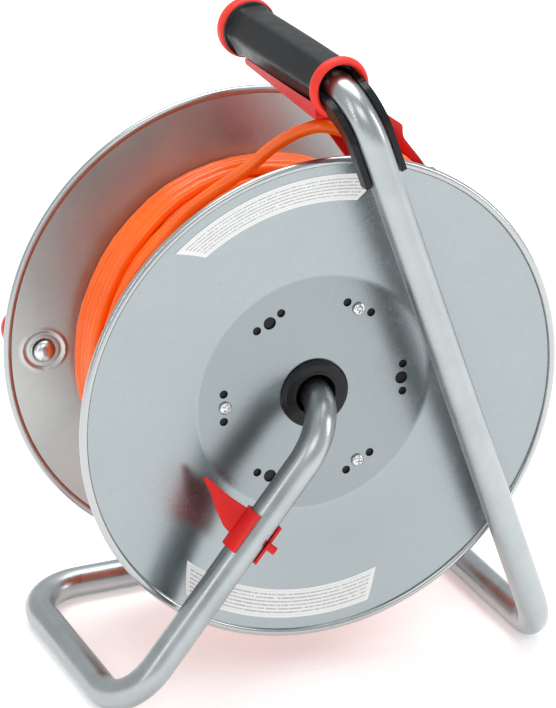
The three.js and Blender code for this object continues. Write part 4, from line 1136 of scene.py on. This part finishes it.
# ---- Carried-over CAD pieces ----
def dress_cad_nodes():
    for entry in frame["record"]["subparts"]:
        node = frame["nodes"][entry["node"]]
        for slot in node.material_slots:
            slot.material = LOOKS[entry["material_slot"]]


# ---- Camera, floor and lights ----
def make_camera():
    azimuth, elevation = math.radians(CAMERA_AZIMUTH), math.radians(CAMERA_ELEVATION)
    back = Vector((math.sin(azimuth) * math.cos(elevation),
                   -math.cos(azimuth) * math.cos(elevation), math.sin(elevation)))
    data = bpy.data.cameras.new("camera")
    data.lens = CAMERA_LENS
    camera = bpy.data.objects.new("camera", data)
    camera.location = CAMERA_TARGET + back * CAMERA_DISTANCE
    camera.rotation_euler = (-back).to_track_quat("-Z", "Y").to_euler()
    bpy.context.scene.collection.objects.link(camera)
    bpy.context.scene.camera = camera


def make_floor():
    half = 14.0
    corners = [(-half, -half, 0), (half, -half, 0), (half, half, 0), (-half, half, 0)]
    floor = new_object("studio_floor", corners, [(0, 1, 2, 3)])
    look = Look("pale_floor", (0.93, 0.93, 0.93), 0.7, Emission_Color=(1, 1, 1, 1), Emission_Strength=0.3)
    floor.data.materials.append(look.material)


def area_light(name, place, width, height, power):
    """A soft white panel that faces the hub."""
    data = bpy.data.lights.new(name, "AREA")
    data.shape = "RECTANGLE"
    data.size = width
    data.size_y = height
    data.energy = power
    light = bpy.data.objects.new(name, data)
    light.location = place
    light.rotation_euler = (HUB - Vector(place)).to_track_quat("-Z", "Y").to_euler()
    light.visible_camera = False
    bpy.context.scene.collection.objects.link(light)


def make_lights():
    area_light("key_softbox", (-0.5, -2.0, 2.1), 1.4, 1.1, 9)
    area_light("top_softbox", (0.3, 0.5, 2.3), 2.2, 1.4, 36)
    area_light("glint_strip", (-2.0, -1.0, 1.2), 0.10, 2.0, 6)
    area_light("right_strip", (2.2, -0.9, 1.1), 0.4, 1.6, 12)
    world = bpy.data.worlds.new("studio_world")
    world.use_nodes = True
    background = world.node_tree.nodes["Background"]
    background.inputs["Color"].default_value = (0.86, 0.90, 0.92, 1)
    background.inputs["Strength"].default_value = 0.78
    bpy.context.scene.world = world
    bpy.context.scene.view_settings.view_transform = "Standard"


# ---- Assembly ----
make_camera()
wound, lead = make_cables()
dress_cad_nodes()
make_frame_tube()
make_rear_disc()
make_front_disc()
make_label("label_top", 128, 77, 5)
make_label("label_bottom", -131, -75, 5)
make_rear_bush()
make_screws()
make_grip_sleeve()
make_grip_ends()
make_saddle()
make_cable_guide()
make_brake_clip()
make_socket_plate()
for number in range(SOCKET_COUNT):
    make_socket_well(number)
    make_socket_lid(number)
make_cutout()
make_crank()
plug_pieces = make_plug()
make_floor()
make_lights()
